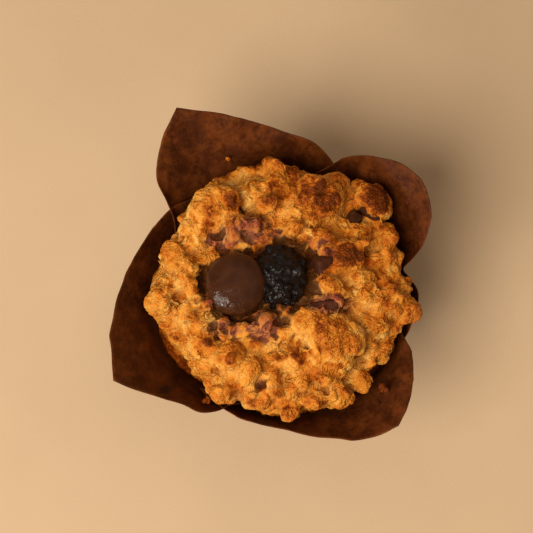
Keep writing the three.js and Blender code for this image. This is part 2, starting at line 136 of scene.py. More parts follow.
# Lumps of crumble on the crust: place (x, y), half sizes, turn in degrees, how
# far each stands out, how dark it is baked (0 to 1) and how rough it is.
LUMPS = (
    (-13, -0.9, 9, 9, 0, 1.6, 0.3, 0.6), (2, 2, 9.5, 9.5, 0, 1.2, 0.3, 0.6),
    (13.2, -6.6, 7.6, 3.6, 6, 2.3, 0.3, 0.9), (12.9, 5.2, 4.4, 4.4, 0, 1.7, 0.3, 0.9),
    (9.4, -10.2, 2.6, 1.5, 10, 3.2, 0.35, 1), (18.4, -3.6, 2.6, 1.3, 14, 3, 0.4, 1),
    (28.2, 24.6, 2.6, 2, 40, 4.2, 0.9, 1.1), (14, -17, 11, 9, -50, 5, 0.5, 1),
    (8.6, -12.4, 6, 5.4, 0, 4.6, 0.3, 0.5), (19.5, -17.5, 6, 6.5, 0, 4.8, 0.62, 1.2),
    (14, -26, 6, 4.6, 10, 3.2, 0.55, 1.1), (11.5, 25.8, 8.4, 8, 0, 5.2, 0.86, 1.1),
    (7.6, 20.4, 5.2, 4, -30, 3.4, 0.22, 0.7), (16.5, 30, 4, 3.8, 0, 3.6, 0.72, 1),
    (27.6, 24.6, 7.4, 5, -42, 4.4, 0.88, 1), (19.6, 8, 6.6, 5.4, 20, 4.6, 0.84, 0.9),
    (15.2, 9.4, 3.8, 4, 0, 3.6, 0.2, 0.7), (14.4, -1, 5.4, 3, -28, 4.4, 0.3, 1),
    (25.4, -2.6, 6, 5.2, 0, 2.4, 0.42, 1), (24.6, 1.6, 3.6, 2.2, 8, 3.4, 0.36, 0.9),
    (36.8, -7.4, 4.4, 4.4, 0, 4.2, 0.58, 1.1), (32.4, -5, 4, 4, 0, 3.2, 0.4, 1),
    (29.5, -12.4, 3.2, 2.6, 0, 3, 0.5, 1), (31, -19, 4, 5, 0, 2, 0.7, 1),
    (24.2, 15, 5.4, 4.4, 0, 2.2, 0.78, 1.1), (31.6, 14.2, 3.2, 4.2, 0, 2.6, 0.72, 1.2),
    (32.2, 8.4, 2.6, 3.4, 0, 2.4, 0.62, 1.2), (4.4, 15.4, 3.6, 3, 0, 3.2, 0.25, 0.8),
    (10.4, 13.6, 4, 2.8, 0, 2.4, 0.3, 1), (-20, 22.4, 9, 7.6, 40, 4.8, 0.62, 1.1),
    (-16.2, 24.6, 5.6, 3.8, -25, 5, 0.84, 1), (-25, 16, 5.6, 6.2, 0, 3.8, 0.3, 1.1),
    (-13.6, 14.6, 2.2, 3.8, 10, 3.8, 0.8, 0.8), (-9.4, 17.2, 3.8, 3, 0, 2.6, 0.5, 1),
    (-8, 28, 6.4, 5.6, 0, 2.2, 0.45, 1.2), (-1, 30.4, 4.6, 5.6, 0, 2.2, 0.62, 1.1),
    (-1.6, 35.6, 4.4, 1.9, -25, 3.2, 0.64, 0.9), (-4.2, 22.4, 3, 2.6, 0, 2.8, 0.34, 0.8),
    (-31, 8.6, 3.8, 4.6, 0, 3.2, 0.66, 1), (-27, 4, 4.2, 4.6, 0, 2.8, 0.4, 1.1),
    (-35.4, -4.6, 4.8, 5.2, 0, 4.2, 0.58, 1.1), (-25.4, -10.4, 6.2, 6.6, 0, 3.4, 0.56, 1.1),
    (-22.6, -18, 5.4, 5.2, 0, 3, 0.7, 1), (-21, -6.4, 3.2, 3.4, 0, 3, 0.42, 0.9),
    (-25.6, -1.8, 3.2, 2.8, 0, 3.2, 0.5, 0.9), (-14.6, -21.6, 4.8, 4.2, 20, 4.4, 0.86, 0.9),
    (-8.8, -26, 2.8, 4.8, -24, 3.6, 0.12, 0.45), (-21, -24.2, 3.2, 3.2, 0, 3.2, 0.5, 1),
    (-17, -31.6, 3.8, 3.2, 0, 3.4, 0.58, 1), (-6.6, -33.4, 4.2, 3.4, 0, 3.2, 0.52, 1),
    (-1.4, -31, 2.8, 2.8, 0, 2.8, 0.5, 1), (3, -37, 3, 2.6, 0, 3, 0.25, 1),
    (10.4, -34.6, 3.6, 2.8, 0, 2.6, 0.64, 1), (17.8, -33, 4.4, 3.4, 12, 3.6, 0.48, 1),
    (23.4, -28.6, 3.2, 2.8, 0, 3, 0.48, 1), (4.2, -24, 4.8, 4.2, 0, 2.4, 0.45, 1.1),
    (5.2, -30, 2.8, 3.2, 0, 2.8, 0.62, 1), (1.6, -15.2, 2.4, 2.4, 0, 3.4, 0.4, 0.8),
    (-5, -13.6, 4.2, 3.2, 0, 2.6, 0.5, 1), (-14.2, -14, 4, 2.8, 0, 2.6, 0.6, 1),
    (-1, -20.4, 4.6, 3.8, 0, 1.8, 0.34, 1.2),
)

# Creases pressed across the petals: from (x, y), to (x, y), how far each stands out.
PAPER_CREASES = (
    (-52.5, -13, -30.5, -34.6, 0.75), (-47, 2, -39, -16, -0.45), (-35, 46, -21, 33, 0.55),
    (-16, 50, -4, 37.5, -0.45), (20, -48, 30.5, -35, 0.5), (44, -36, 35, -24, -0.45),
    (47, 19, 37, 27, 0.5), (30, 40.5, 35, 31, -0.4),
)

# Dark marks burnt into the paper: place (x, y), half sizes and turn in degrees.
PAPER_MARKS = (
    (37, 38.4, 2.2, 1.1, -20), (-34.5, -31.5, 1.9, 1.3, 30), (-10, 38.6, 0.7, 0.6, 0),
)

# Corners of crumble that caught the heat: place and half sizes.
BURNT = (
    (29.6, 28.6, 3.8, 2.2), (31.6, 24.4, 2.2, 3), (10.4, 27.6, 3, 2.4), (21.6, 7.6, 2.6, 2.6),
    (-15.4, 24.6, 3.4, 1.8),
)

# Gaps between lumps that go deep: place, half sizes and depth.
HOLES = (
    (22.4, 21.4, 3, 2.2, 2.8), (-24, -8, 1.8, 0.9, 1), (-30.6, -5, 0.8, 2.6, 1.2),
    (26.6, 8.2, 1.4, 2.8, 1.8), (-21, 17.6, 2.4, 0.9, 1.4), (-12.8, -34.6, 1.7, 3.4, 1.7),
    (20.6, -1.6, 2.8, 0.9, 1.2), (5.6, -20.6, 0.8, 2.8, 1), (6.4, -33.2, 2.2, 0.8, 1.1),
    (24.6, -23.6, 2.6, 1.2, 1.3), (-17.6, -27.2, 1.6, 1, 1.1), (-18.4, 8.4, 1.8, 0.9, 1.4),
    (4.6, 28.6, 0.9, 2.8, 1.6),
)

# Where berry juice has run into the crumble: place, half sizes and strength.
JUICE = (
    (-16.5, 13, 6.5, 4.6, 0.85), (-9.5, 15.5, 7.5, 5.6, 0.9), (-2.5, 13, 5.5, 4, 0.8),
    (-22.5, 1.5, 3, 5, 0.75), (-16, -13.6, 7, 4, 0.85), (-5, -12.8, 7.5, 5.6, 0.95),
    (11.5, 9.4, 5, 4.4, 0.75), (9.4, -2.6, 3.6, 4.6, 0.85), (13.5, -6.8, 8, 3.2, 1),
    (-4.5, -30.6, 5, 1.8, 0.55), (6, 33, 3, 2, 0.3),
)


# ---------------------------------------------------------------------------
# Sums: noise, curves and grids
# ---------------------------------------------------------------------------

def mixed_bits(cells, seed):
    """A repeatable number between 0 and 1 for each whole-numbered cell."""
    x, y, z = (cells[..., k].astype(np.int64) for k in range(3))
    bits = (x * 73856093) ^ (y * 19349663) ^ (z * 83492791) ^ (seed * 2654435761)
    bits = bits & 0xFFFFFFFF
    for _ in range(2):
        bits = ((bits >> 16) ^ bits) * 0x45D9F3B & 0xFFFFFFFF
    return ((bits >> 16) ^ bits) / 4294967296.0


def smooth_noise(points, size, seed=0):
    """Soft noise from about -1 to 1, with humps about `size` apart."""
    scaled = np.asarray(points, dtype=float) / size
    cell = np.floor(scaled)
    inside = scaled - cell
    fade = inside ** 3 * (inside * (inside * 6 - 15) + 10)
    total = np.zeros(len(scaled))
    for corner in np.ndindex(2, 2, 2):
        offset = np.array(corner)
        turn = mixed_bits(cell + offset, seed) * 2 * math.pi
        rise = mixed_bits(cell + offset, seed + 101) * 2 - 1
        flat = np.sqrt(1 - rise ** 2)
        away = inside - offset
        slope = away[:, 0] * flat * np.cos(turn) + away[:, 1] * flat * np.sin(turn)
        slope = slope + away[:, 2] * rise
        weight = np.prod(np.where(offset == 1, fade, 1 - fade), axis=1)
        total += weight * slope
    return total * 1.6


def layered_noise(points, size, layers, seed=0, gain=0.5):
    """Several soft noises, each half the size and weaker than the last."""
    total = np.zeros(len(points))
    strength = 1.0
    for layer in range(layers):
        total += strength * smooth_noise(points, size / 2 ** layer, seed + 17 * layer)
        strength *= gain
    return total


def grains(points, size, seed=0):
    """Distance to the nearest scattered grain, in grain sizes."""
    scaled = np.asarray(points, dtype=float) / size
    cell = np.floor(scaled)
    nearest = np.full(len(scaled), 9.0)
    for step in np.ndindex(3, 3, 3):
        near = cell + np.array(step) - 1
        jitter = np.stack([mixed_bits(near, seed + k) for k in range(3)], axis=1)
        nearest = np.minimum(nearest, np.linalg.norm(near + jitter - scaled, axis=1))
    return nearest


def ease(start, end, value):
    """Go smoothly from 0 at start to 1 at end, which may be the lower one."""
    share = np.clip((np.asarray(value, dtype=float) - start) / (end - start), 0, 1)
    return share * share * (3 - 2 * share)


def polar(angle, radius, height):
    """A point from an angle in degrees, a radius and a height."""
    turn = np.radians(angle)
    parts = np.broadcast_arrays(radius * np.cos(turn), radius * np.sin(turn), height)
    return np.stack(parts, axis=-1)


def oval(points, x, y, long, wide, turn=0):
    """Distance on the plan from an oval's middle, which is 1 on its rim."""
    cosine, sine = math.cos(math.radians(turn)), math.sin(math.radians(turn))
    east, north = points[:, 0] - x, points[:, 1] - y
    return np.hypot((east * cosine + north * sine) / long, (north * cosine - east * sine) / wide)


def spots(points, table, start, end):
    """The strongest of several oval spots at each point."""
    strongest = np.zeros(len(points))
    for *place, strength in table:
        strongest = np.maximum(strongest, strength * ease(start, end, oval(points, *place)))
    return strongest


def swung(first, second, angle):
    """Two coordinates turned together by an angle."""
    cosine, sine = math.cos(angle), math.sin(angle)
    return first * cosine - second * sine, first * sine + second * cosine


def even_curve(points, count):
    """Points spaced evenly along a smooth curve through the given ones."""
    points = np.asarray(points, dtype=float)
    points = np.vstack([2 * points[0] - points[1], points, 2 * points[-1] - points[-2]])
    gaps = np.linalg.norm(np.diff(points, axis=0), axis=1)
    knots = np.concatenate([[0], np.cumsum(gaps ** 0.5)])
    dense = []
    for i in range(1, len(points) - 2):
        t = np.linspace(knots[i], knots[i + 1], 40, endpoint=False)[:, None]
        p, k = points[i - 1:i + 3], knots[i - 1:i + 3]
        a = [p[j] + (p[j + 1] - p[j]) * (t - k[j]) / (k[j + 1] - k[j]) for j in range(3)]
        b = [a[j] + (a[j + 1] - a[j]) * (t - k[j]) / (k[j + 2] - k[j]) for j in range(2)]
        dense.append(b[0] + (b[1] - b[0]) * (t - k[1]) / (k[2] - k[1]))
    dense = np.vstack(dense + [points[-2:-1]])
    run = np.concatenate([[0], np.cumsum(np.linalg.norm(np.diff(dense, axis=0), axis=1))])
    even = np.linspace(0, run[-1], count + 1)
    return np.stack([np.interp(even, run, dense[:, k]) for k in range(3)], axis=1), run[-1]


def grid_normals(grid):
    """Outward normals of a grid that closes on itself along its first side."""
    around = np.roll(grid, -1, axis=0) - np.roll(grid, 1, axis=0)
    facing = np.cross(around, np.gradient(grid, axis=1))
    return facing / np.maximum(np.linalg.norm(facing, axis=2, keepdims=True), 1e-9)


# ---------------------------------------------------------------------------
# Meshes
# ---------------------------------------------------------------------------

def bare_mesh(name, points, faces):
    """A mesh from points and rows of corner numbers, all with as many corners."""
    faces = np.asarray(faces, dtype=np.int32)
    mesh = bpy.data.meshes.new(name)
    mesh.vertices.add(len(points))
    mesh.vertices.foreach_set("co", np.asarray(points, dtype=np.float32).ravel())
    mesh.loops.add(faces.size)
    mesh.loops.foreach_set("vertex_index", faces.ravel())
    mesh.polygons.add(len(faces))
    mesh.polygons.foreach_set("loop_start", np.arange(len(faces), dtype=np.int32) * faces.shape[1])
    mesh.update(calc_edges=True)
    mesh.validate()
    return mesh


def read(collection, field, width, kind=np.float32):
    """A numpy copy of one field of a mesh's points, edges or normals."""
    values = np.empty(len(collection) * width, dtype=kind)
    collection.foreach_get(field, values)
    return values.reshape(-1, width)


def corners(mesh):
    return read(mesh.vertices, "co", 3).astype(float)


def normals(mesh):
    return read(mesh.vertex_normals, "vector", 3).astype(float)


def edge_pairs(mesh):
    return read(mesh.edges, "vertices", 2, np.int32)


def move_corners(mesh, points):
    mesh.vertices.foreach_set("co", np.asarray(points, dtype=np.float32).ravel())
    mesh.update()


def relaxed(values, edges, rounds, strength=0.5):
    """Values at a mesh's points, averaged with their neighbours' again and again."""
    values = np.asarray(values, dtype=float)
    flat = values.reshape(len(values), -1)
    a, b = edges.T
    size = len(flat)
    count = np.maximum(np.bincount(a, minlength=size) + np.bincount(b, minlength=size), 1)
    for _ in range(rounds):
        columns = []
        for k in range(flat.shape[1]):
            total = np.bincount(a, flat[b, k], size) + np.bincount(b, flat[a, k], size)
            columns.append(total / count)
        flat = flat + strength * (np.stack(columns, axis=1) - flat)
    return flat.reshape(values.shape)


def store(mesh, **fields):
    """Keep numbers for each point of a mesh, for its material to read."""
    for name, values in fields.items():
        layer = mesh.attributes.new(name, "FLOAT", "POINT")
        layer.data.foreach_set("value", np.full(len(mesh.vertices), values, dtype=np.float32))


@contextmanager
def edited(mesh):
    """A mesh opened for editing, and written back afterwards."""
    shape = bmesh.new()
    shape.from_mesh(mesh)
    yield shape
    shape.to_mesh(mesh)
    shape.free()


def modified(meshes, kind, **settings):
    """What one modifier makes of a mesh, together with a second one if given."""
    pieces = [bpy.data.objects.new("unfinished", mesh) for mesh in meshes]
    for piece in pieces:
        bpy.context.collection.objects.link(piece)
    modifier = pieces[0].modifiers.new(kind.title(), kind)
    for key, value in settings.items():
        setattr(modifier, key, value)
    for other in pieces[1:]:
        modifier.object = other
    depsgraph = bpy.context.evaluated_depsgraph_get()
    result = bpy.data.meshes.new_from_object(pieces[0].evaluated_get(depsgraph))
    for piece, mesh in zip(pieces, meshes):
        bpy.data.objects.remove(piece)
        bpy.data.meshes.remove(mesh)
    return result


def fused(mesh, voxel):
    """The outer skin of everything in a mesh, as one mesh of even squares."""
    return modified([mesh], "REMESH", mode="VOXEL", voxel_size=voxel, adaptivity=0)


def united(mesh, other):
    """Two closed meshes as one skin, with the numbers stored on both."""
    least = len(mesh.polygons)
    result = modified([mesh, other], "BOOLEAN", operation="UNION", solver="MANIFOLD")
    if len(result.polygons) < least:
        raise RuntimeError("the crumble and the sponge could not be joined")
    return result


def whole_part(mesh):
    """Leave only the largest connected part of a mesh."""
    edges = edge_pairs(mesh)
    part = np.arange(len(mesh.vertices))
    while True:
        lowest = np.minimum(part[edges[:, 0]], part[edges[:, 1]])
        before = part.copy()
        np.minimum.at(part, edges[:, 0], lowest)
        np.minimum.at(part, edges[:, 1], lowest)
        part = part[part]
        if np.array_equal(part, before):
            break
    largest = np.bincount(part).argmax()
    with edited(mesh) as shape:
        loose = [vert for vert, label in zip(shape.verts, part) if label != largest]
        bmesh.ops.delete(shape, geom=loose, context="VERTS")


def ball(detail):
    """Points and triangles of a round ball of radius 1."""
    shape = bmesh.new()
    bmesh.ops.create_icosphere(shape, subdivisions=detail, radius=1)
    shape.verts.index_update()
    points = np.array([vert.co[:] for vert in shape.verts])
    faces = np.array([[vert.index for vert in face.verts] for face in shape.faces])
    shape.free()
    return points, faces


def broken(shape, count, facets, nearest, seed):
    """How far out each direction goes on `count` balls broken along flat faces."""
    rng = np.random.default_rng(seed)
    faces = rng.normal(size=(count, facets, 3))
    faces /= np.linalg.norm(faces, axis=2, keepdims=True)
    depth = rng.uniform(nearest, 1.0, (count, 1, facets))
    facing = np.einsum("ti,nki->ntk", shape, faces)
    reach = np.where(facing > 0.05, depth / np.maximum(facing, 0.05), 9.0).min(axis=2)
    return np.minimum(reach, 1.12)[:, :, None]


def pebbles(detail, centres, sizes, frames, rough, seed, facets=0, nearest=0.6):
    """Many uneven pebbles at once. frames holds each one's three directions."""
    shape, triangles = ball(detail)
    count = len(centres)
    directions = np.repeat(shape[None], count, axis=0)
    if facets:
        directions = directions * broken(shape, count, facets, nearest, seed)
    shift = np.arange(count)[:, None, None] * np.array([3.7, 5.3, 7.9])
    wave = smooth_noise((directions + shift).reshape(-1, 3), 0.9, seed).reshape(count, -1, 1)
    fine = smooth_noise((directions + shift).reshape(-1, 3), 0.42, seed + 5)
    fine = fine.reshape(count, -1, 1)
    rough = np.broadcast_to(rough, (count,))[:, None, None]
    local = directions * (1 + rough * (wave + 0.7 * fine)) * sizes[:, None]
    points = np.einsum("nti,nij->ntj", local, frames) + centres[:, None]
    faces = triangles[None] + np.arange(count)[:, None, None] * len(shape)
    return points.reshape(-1, 3), faces.reshape(-1, 3)


def joined(parts):
    """Several (points, faces) pairs as one."""
    points, faces, start = [], [], 0
    for part_points, part_faces in parts:
        points.append(part_points)
        faces.append(part_faces + start)
        start += len(part_points)
    return np.vstack(points), np.vstack(faces)


def random_frames(rng, count):
    """Evenly scattered right-handed sets of three directions."""
    quaternion = rng.normal(size=(count, 4))
    quaternion /= np.linalg.norm(quaternion, axis=1, keepdims=True)
    w, x, y, z = quaternion.T
    rows = [
        [1 - 2 * (y * y + z * z), 2 * (x * y - z * w), 2 * (x * z + y * w)],
        [2 * (x * y + z * w), 1 - 2 * (x * x + z * z), 2 * (y * z - x * w)],
        [2 * (x * z - y * w), 2 * (y * z + x * w), 1 - 2 * (x * x + y * y)],
    ]
    return np.array(rows).transpose(2, 0, 1)


def smooth_all(mesh):
    mesh.polygons.foreach_set("use_smooth", np.ones(len(mesh.polygons), dtype=bool))


def add_piece(name, mesh, maker, slot, *nodes):
    """Scale a finished mesh to metres and add it in place of its nodes."""
    if not len(mesh.polygons):
        raise RuntimeError(f"{name} came out empty")
    move_corners(mesh, corners(mesh) * MM)
    mesh.materials.clear()
    mesh.materials.append(finish(maker))
    mesh.name = name
    piece = bpy.data.objects.new(name, mesh)
    bpy.context.collection.objects.link(piece)
    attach(piece, "root")
    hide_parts(*nodes)


# ---------------------------------------------------------------------------
# Materials
# ---------------------------------------------------------------------------

class Finish:
    """A material's nodes, added and joined by short calls."""

    def __init__(self, name):
        self.material = bpy.data.materials.new(name)
        self.material.use_nodes = True
        self.tree = self.material.node_tree
        self.shader = self.tree.nodes["Principled BSDF"]
        self.place = self.add("ShaderNodeTexCoord").outputs["Object"]

    def feed(self, socket, value):
        """Join an output to a socket, or set the socket to a plain value."""
        if isinstance(value, bpy.types.NodeSocket):
            self.tree.links.new(value, socket)
        elif value is not None:
            socket.default_value = value

    def add(self, kind, inputs=(), **settings):
        """A new node. inputs pairs its sockets' names or numbers with values."""
        node = self.tree.nodes.new(kind)
        for key, value in settings.items():
            setattr(node, key, value)
        for key, value in dict(inputs).items():
            self.feed(node.inputs[key], value)
        return node

    def stretched(self, *scale):
        node = self.add("ShaderNodeMapping", {"Vector": self.place, "Scale": scale})
        return node.outputs["Vector"]

    def noise(self, size, detail=3.0, rough=0.55, warp=0.0, where=None):
        """Noise whose humps are `size` millimetres apart."""
        inputs = {"Vector": where or self.place, "Scale": 1 / (size * MM)}
        inputs.update(Detail=detail, Roughness=rough, Distortion=warp)
        return self.add("ShaderNodeTexNoise", inputs).outputs["Fac"]

    def cells(self, size):
        """Distance to the nearest of scattered grains `size` millimetres apart."""
        inputs = {"Vector": self.place, "Scale": 1 / (size * MM)}
        return self.add("ShaderNodeTexVoronoi", inputs).outputs["Distance"]

    def stored(self, name):
        return self.add("ShaderNodeAttribute", attribute_name=name).outputs["Fac"]

    def sum(self, kind, *values, clamp=False):
        node = self.add("ShaderNodeMath", enumerate(values), operation=kind, use_clamp=clamp)
        return node.outputs[0]

    def times(self, a, b, plus=None):
        """a times b, plus one more value if it is given."""
        return self.sum("MULTIPLY" if plus is None else "MULTIPLY_ADD", a, b, plus)

    def spread(self, *values):
        """A value, its range, and the range it is stretched to if not 0 to 1."""
        return self.add("ShaderNodeMapRange", enumerate(values)).outputs[0]

    def ramp(self, value, *stops):
        """Colours along a scale from 0 to 1, as (place, colour) pairs."""
        node = self.add("ShaderNodeValToRGB")
        self.feed(node.inputs["Fac"], value)
        elements = node.color_ramp.elements
        elements[0].position = stops[0][0]
        elements[1].position = stops[-1][0]
        for position, _ in stops[1:-1]:
            elements.new(position)
        for element, (_, colour) in zip(elements, stops):
            element.color = (*colour, 1)
        return node.outputs["Color"]

    def mottled(self, value, colour, *stops):
        """Shades of one colour along a scale, as (place, brightness) pairs."""
        return self.ramp(value, *((place, darker(colour, share)) for place, share in stops))

    def blend(self, amount, a, b, kind="MIX"):
        """One colour laid over another, by an amount from 0 to 1."""
        a, b = (c if isinstance(c, bpy.types.NodeSocket) else (*c, 1) for c in (a, b))
        inputs = {"Factor": amount, 6: a, 7: b}
        return self.add("ShaderNodeMix", inputs, data_type="RGBA", blend_type=kind).outputs[2]

    def bump(self, height, depth):
        """Small relief, `depth` millimetres for a height of 1."""
        inputs = {"Distance": depth * MM, "Height": height}
        return self.add("ShaderNodeBump", inputs).outputs["Normal"]

    def done(self, colour, rough, normal, specular):
        """Join the results to the shader. specular is the same all over."""
        values = {"Base Color": colour, "Roughness": rough, "Normal": normal}
        values["Specular IOR Level"] = specular
        for name, value in values.items():
            self.feed(self.shader.inputs[name], value)
        return self.material


def darker(colour, share):
    return tuple(channel * share for channel in colour)


def crumble_finish(colours):
    """Baked crumble: pale in its hollows, golden on its sides, brown on top; painted shade darkens
    its hollows and dips.
    """
    f = Finish("crumble_look")
    speck = f.noise(1.3, 3.0, 0.6)
    grain = f.times(f.cells(0.46), 0.45, f.times(f.cells(0.85), 0.6))
    bake = f.times(speck, 0.62, f.stored("bake"))
    sandy = f.spread(f.stored("nubbly"), 0.0, 1.0, 0.26, 0.42)
    bake = f.sum("ADD", bake, f.times(grain, sandy))
    bake = f.sum("SUBTRACT", bake, 0.46, clamp=True)
    baked = f.ramp(
        bake,
        (0.0, colours.crumb_pale),
        (0.34, colours.crumb_golden),
        (0.60, colours.crumb_orange),
        (0.82, colours.crumb_brown),
        (1.0, darker(colours.crumb_brown, 0.5)),
    )
    dip = f.stored("dip")
    patchy = f.noise(1.6, 3.0, 0.7)
    reach = f.times(patchy, 0.8, f.stored("juice"))
    juice = f.spread(f.times(dip, 0.75, reach), 1.08, 1.62)
    # The juice is darker in the dips and next to the toppings: partly pooled juice, partly painted
    # shade.
    wet = f.times(dip, 0.75, f.times(f.stored("soaked"), 0.32))
    wet = f.times(patchy, 0.5, f.sum("SUBTRACT", wet, 0.25))
    juicy = f.mottled(wet, colours.juice, (0.22, 1.35), (0.52, 0.55), (0.85, 0.11))
    # Painted shade: the crumble is darkened and reddened in its dips.
    warm = f.ramp(dip, (0.35, (1, 1, 1)), (0.70, (0.95, 0.86, 0.74)), (1.0, (0.80, 0.60, 0.42)))
    baked = f.blend(1.0, baked, warm, "MULTIPLY")
    colour = f.blend(f.times(juice, 0.86), baked, juicy)
    # Painted shade: darker and redder in hollows and creases, low down in the cup, in deep holes
    # and round the toppings.
    hollow = f.stored("hollow")
    shade = f.ramp(hollow, (0, (1, 1, 1)), (0.4, (0.86, 0.75, 0.62)), (1, (0.36, 0.175, 0.085)))
    colour = f.blend(1.0, colour, shade, "MULTIPLY")
    rough = f.spread(juice, 0.0, 1.0, 0.66, 0.52)
    rough = f.times(f.noise(0.7, 2.0), 0.2, f.sum("SUBTRACT", rough, 0.1))
    relief = f.times(grain, -1.0, f.noise(0.9, 2.0, 0.5))
    coarse = f.spread(f.stored("nubbly"), 0.0, 1.0, 0.42, 0.95)
    normal = f.bump(f.times(relief, coarse), 0.88)
    for name, value in (("Weight", 0.22), ("Scale", 0.0016), ("Radius", (1.0, 0.45, 0.15))):
        f.shader.inputs["Subsurface " + name].default_value = value
    return f.done(colour, rough, normal, specular=0.28)


def paper_finish(colours):
    """Brown greaseproof paper, mottled by fat, scuffed along its folds."""
    f = Finish("paper_look")
    streak = f.noise(9.0, 7.0, 0.7, 0.2, f.stretched(1, 1, 0.45))
    cloud = f.noise(26.0, 3.0, 0.5, 1.5)
    value = f.times(cloud, 0.55, f.times(streak, 0.45))
    base = f.ramp(
        value,
        (0.32, colours.paper_dark),
        (0.52, tuple((a + b) / 2 for a, b in zip(colours.paper_dark, colours.paper_light))),
        (0.68, colours.paper_light),
    )
    fibre = f.noise(1.1, 5.0, 0.7, 0.0, f.stretched(1, 1, 0.35))
    base = f.blend(f.spread(fibre, 0.35, 0.75, 0.0, 0.35), base, darker(colours.paper_light, 1.5))
    warm = f.spread(f.noise(5.5, 7.0, 0.74, 0.1, f.stretched(1, 1, 0.5)), 0.44, 0.66)
    base = f.blend(f.times(warm, 0.7), base, (0.165, 0.043, 0.007))
    scuff = f.times(f.stored("scuff"), f.spread(f.noise(2.2, 3.0, 0.7), 0.35, 0.65))
    base = f.blend(f.times(scuff, 0.45), base, darker(colours.paper_light, 2.4))
    fat = f.spread(f.noise(3.4, 3.0, 0.55, 1.0), 0.56, 0.66)
    base = f.blend(f.times(fat, 0.4), base, darker(colours.paper_dark, 0.6))
    rough = f.spread(fat, 0.0, 1.0, 0.62, 0.46)
    base = f.blend(f.times(f.stored("mark"), 0.9), base, (0.012, 0.008, 0.007))
    relief = f.times(f.noise(4.0, 4.0, 0.6, 0.5), 1.6, f.noise(0.6, 3.0, 0.7))
    normal = f.bump(relief, 0.16)
    return f.done(base, rough, normal, specular=0.3)


def button_finish(colours):
    """Chocolate that melted and set again: glossy, with a fine wrinkled skin."""
    f = Finish("button_look")
    base = f.mottled(f.noise(4.0, 3.0, 0.6), colours.chocolate, (0.3, 0.75), (0.7, 1.35))
    wrinkle = f.spread(f.stored("wrinkle"), 0.0, 1.0)
    # Pale sugar bloom, painted only on the wrinkled side that faces the lamps; it is partly a
    # painted highlight standing in for glints.
    bloom_glints = f.spread(f.noise(0.5, 2.0, 0.6), 0.6, 0.78)
    bloom_glints = f.times(f.times(bloom_glints, wrinkle), 0.3)
    base = f.blend(bloom_glints, base, (0.32, 0.22, 0.16))
    rough = f.spread(wrinkle, 0.0, 1.0, 0.31, 0.055)
    crinkle = f.times(f.noise(1.1, 3.0, 0.65, 0.6), f.spread(wrinkle, 0.0, 1.0, 0.14, 1.0))
    normal = f.bump(crinkle, 0.26)
    return f.done(base, rough, normal, specular=0.50)


def berry_finish(colours):
    """Near-black berry skin, wet and finely creased."""
    f = Finish("berry_look")
    base = f.mottled(f.noise(1.8, 3.0, 0.6), colours.berry, (0.35, 0.6), (0.75, 2.2))
    rough = f.spread(f.noise(0.8, 3.0, 0.6), 0.3, 0.7, 0.10, 0.26)
    relief = f.times(f.cells(0.9), -0.8, f.noise(0.9, 3.0, 0.65, 0.5))
    normal = f.bump(relief, 0.30)
    return f.done(base, rough, normal, specular=0.50)


def chunk_finish(colours):
    """Broken dark chocolate, softened in the oven, mottled, and reddened where juice reached it."""
    f = Finish("chunk_look")
    base = f.mottled(f.noise(1.8, 4.0, 0.65), colours.chocolate, (0.3, 0.5), (0.7, 1.5))
    base = f.blend(f.times(f.stored("warm"), 0.8), base, (0.070, 0.018, 0.010))
    rough = f.spread(f.noise(1.2, 3.0, 0.6), 0.3, 0.7, 0.34, 0.62)
    normal = f.bump(f.noise(0.8, 4.0, 0.65), 0.3)
    return f.done(base, rough, normal, specular=0.3)


def floor_finish(colours):
    """A plain pale table top with a faint, fine tooth."""
    f = Finish("floor_look")
    base = f.mottled(f.noise(60.0, 3.0, 0.5), colours.table, (0.3, 0.96), (0.7, 1.03))
    normal = f.bump(f.noise(0.9, 3.0, 0.6), 0.06)
    return f.done(base, 0.85, normal, specular=0.2)


def finish(maker):
    """A finish made once and shared by all the pieces that use it."""
    name = maker.__name__.replace("finish", "look")
    return bpy.data.materials.get(name) or maker(bpy.context.scene.muffin_colours)


# ---------------------------------------------------------------------------
# The paper cup
# ---------------------------------------------------------------------------

def paper_columns():
    """Foot angle, edge angle, edge radius and edge height of each column."""
    columns = []
    for side in PAPER_EDGE:
        runs = [even_curve([polar(*point) for point in run], count)
                for run, count in zip(side, RUN_COLUMNS)]
        total = sum(length for _, length in runs)
        start, turn = side[0][0][0], side[2][-1][0] - side[0][0][0]
        done, angle = 0.0, start
        for points, length in runs:
            steps = len(points) - 1
            for i, (x, y, height) in enumerate(points[:-1]):
                raw = math.degrees(math.atan2(y, x))
                angle = raw + 360 * round((angle - raw) / 360)
                foot = start + turn * (done + length * i / steps) / total
                columns.append((foot, angle, math.hypot(x, y), height))
            done += length
    return np.array(columns)


def paper_sheet(sizes):
    """The cup's wall as a grid: columns round it, rows from the foot to the edge."""
    foot, angle, radius, height = paper_columns().T[:, :, None]
    share = np.linspace(0, 1, sizes.cup_rows + 1)[None, :]
    fold_radius, flat_above, folded_below = PAPER_FOLD
    layer = ease(flat_above, folded_below, height) * (radius - fold_radius)
    shoulder = 0.72 * height
    thick, foot_radius = sizes.paper / MM, sizes.foot_radius / MM
    # Radius and height of the four points that each column's curve is drawn by.
    guides = (
        (foot_radius - thick / 2, thick / 2),
        (foot_radius + 4.8 + 0.25 * layer, 20),
        (foot_radius + 0.28 * shoulder + 0.65 * layer, shoulder),
        (radius, height),
    )
    rest = 1 - share
    weights = (rest ** 3, 3 * share * rest ** 2, 3 * share ** 2 * rest, share ** 3)
    out = sum(weight * guide[0] for weight, guide in zip(weights, guides))
    up = sum(weight * guide[1] for weight, guide in zip(weights, guides))
    turned = ease(0.03, 0.85, share)
    return polar(foot + (angle - foot) * turned, out, up), share


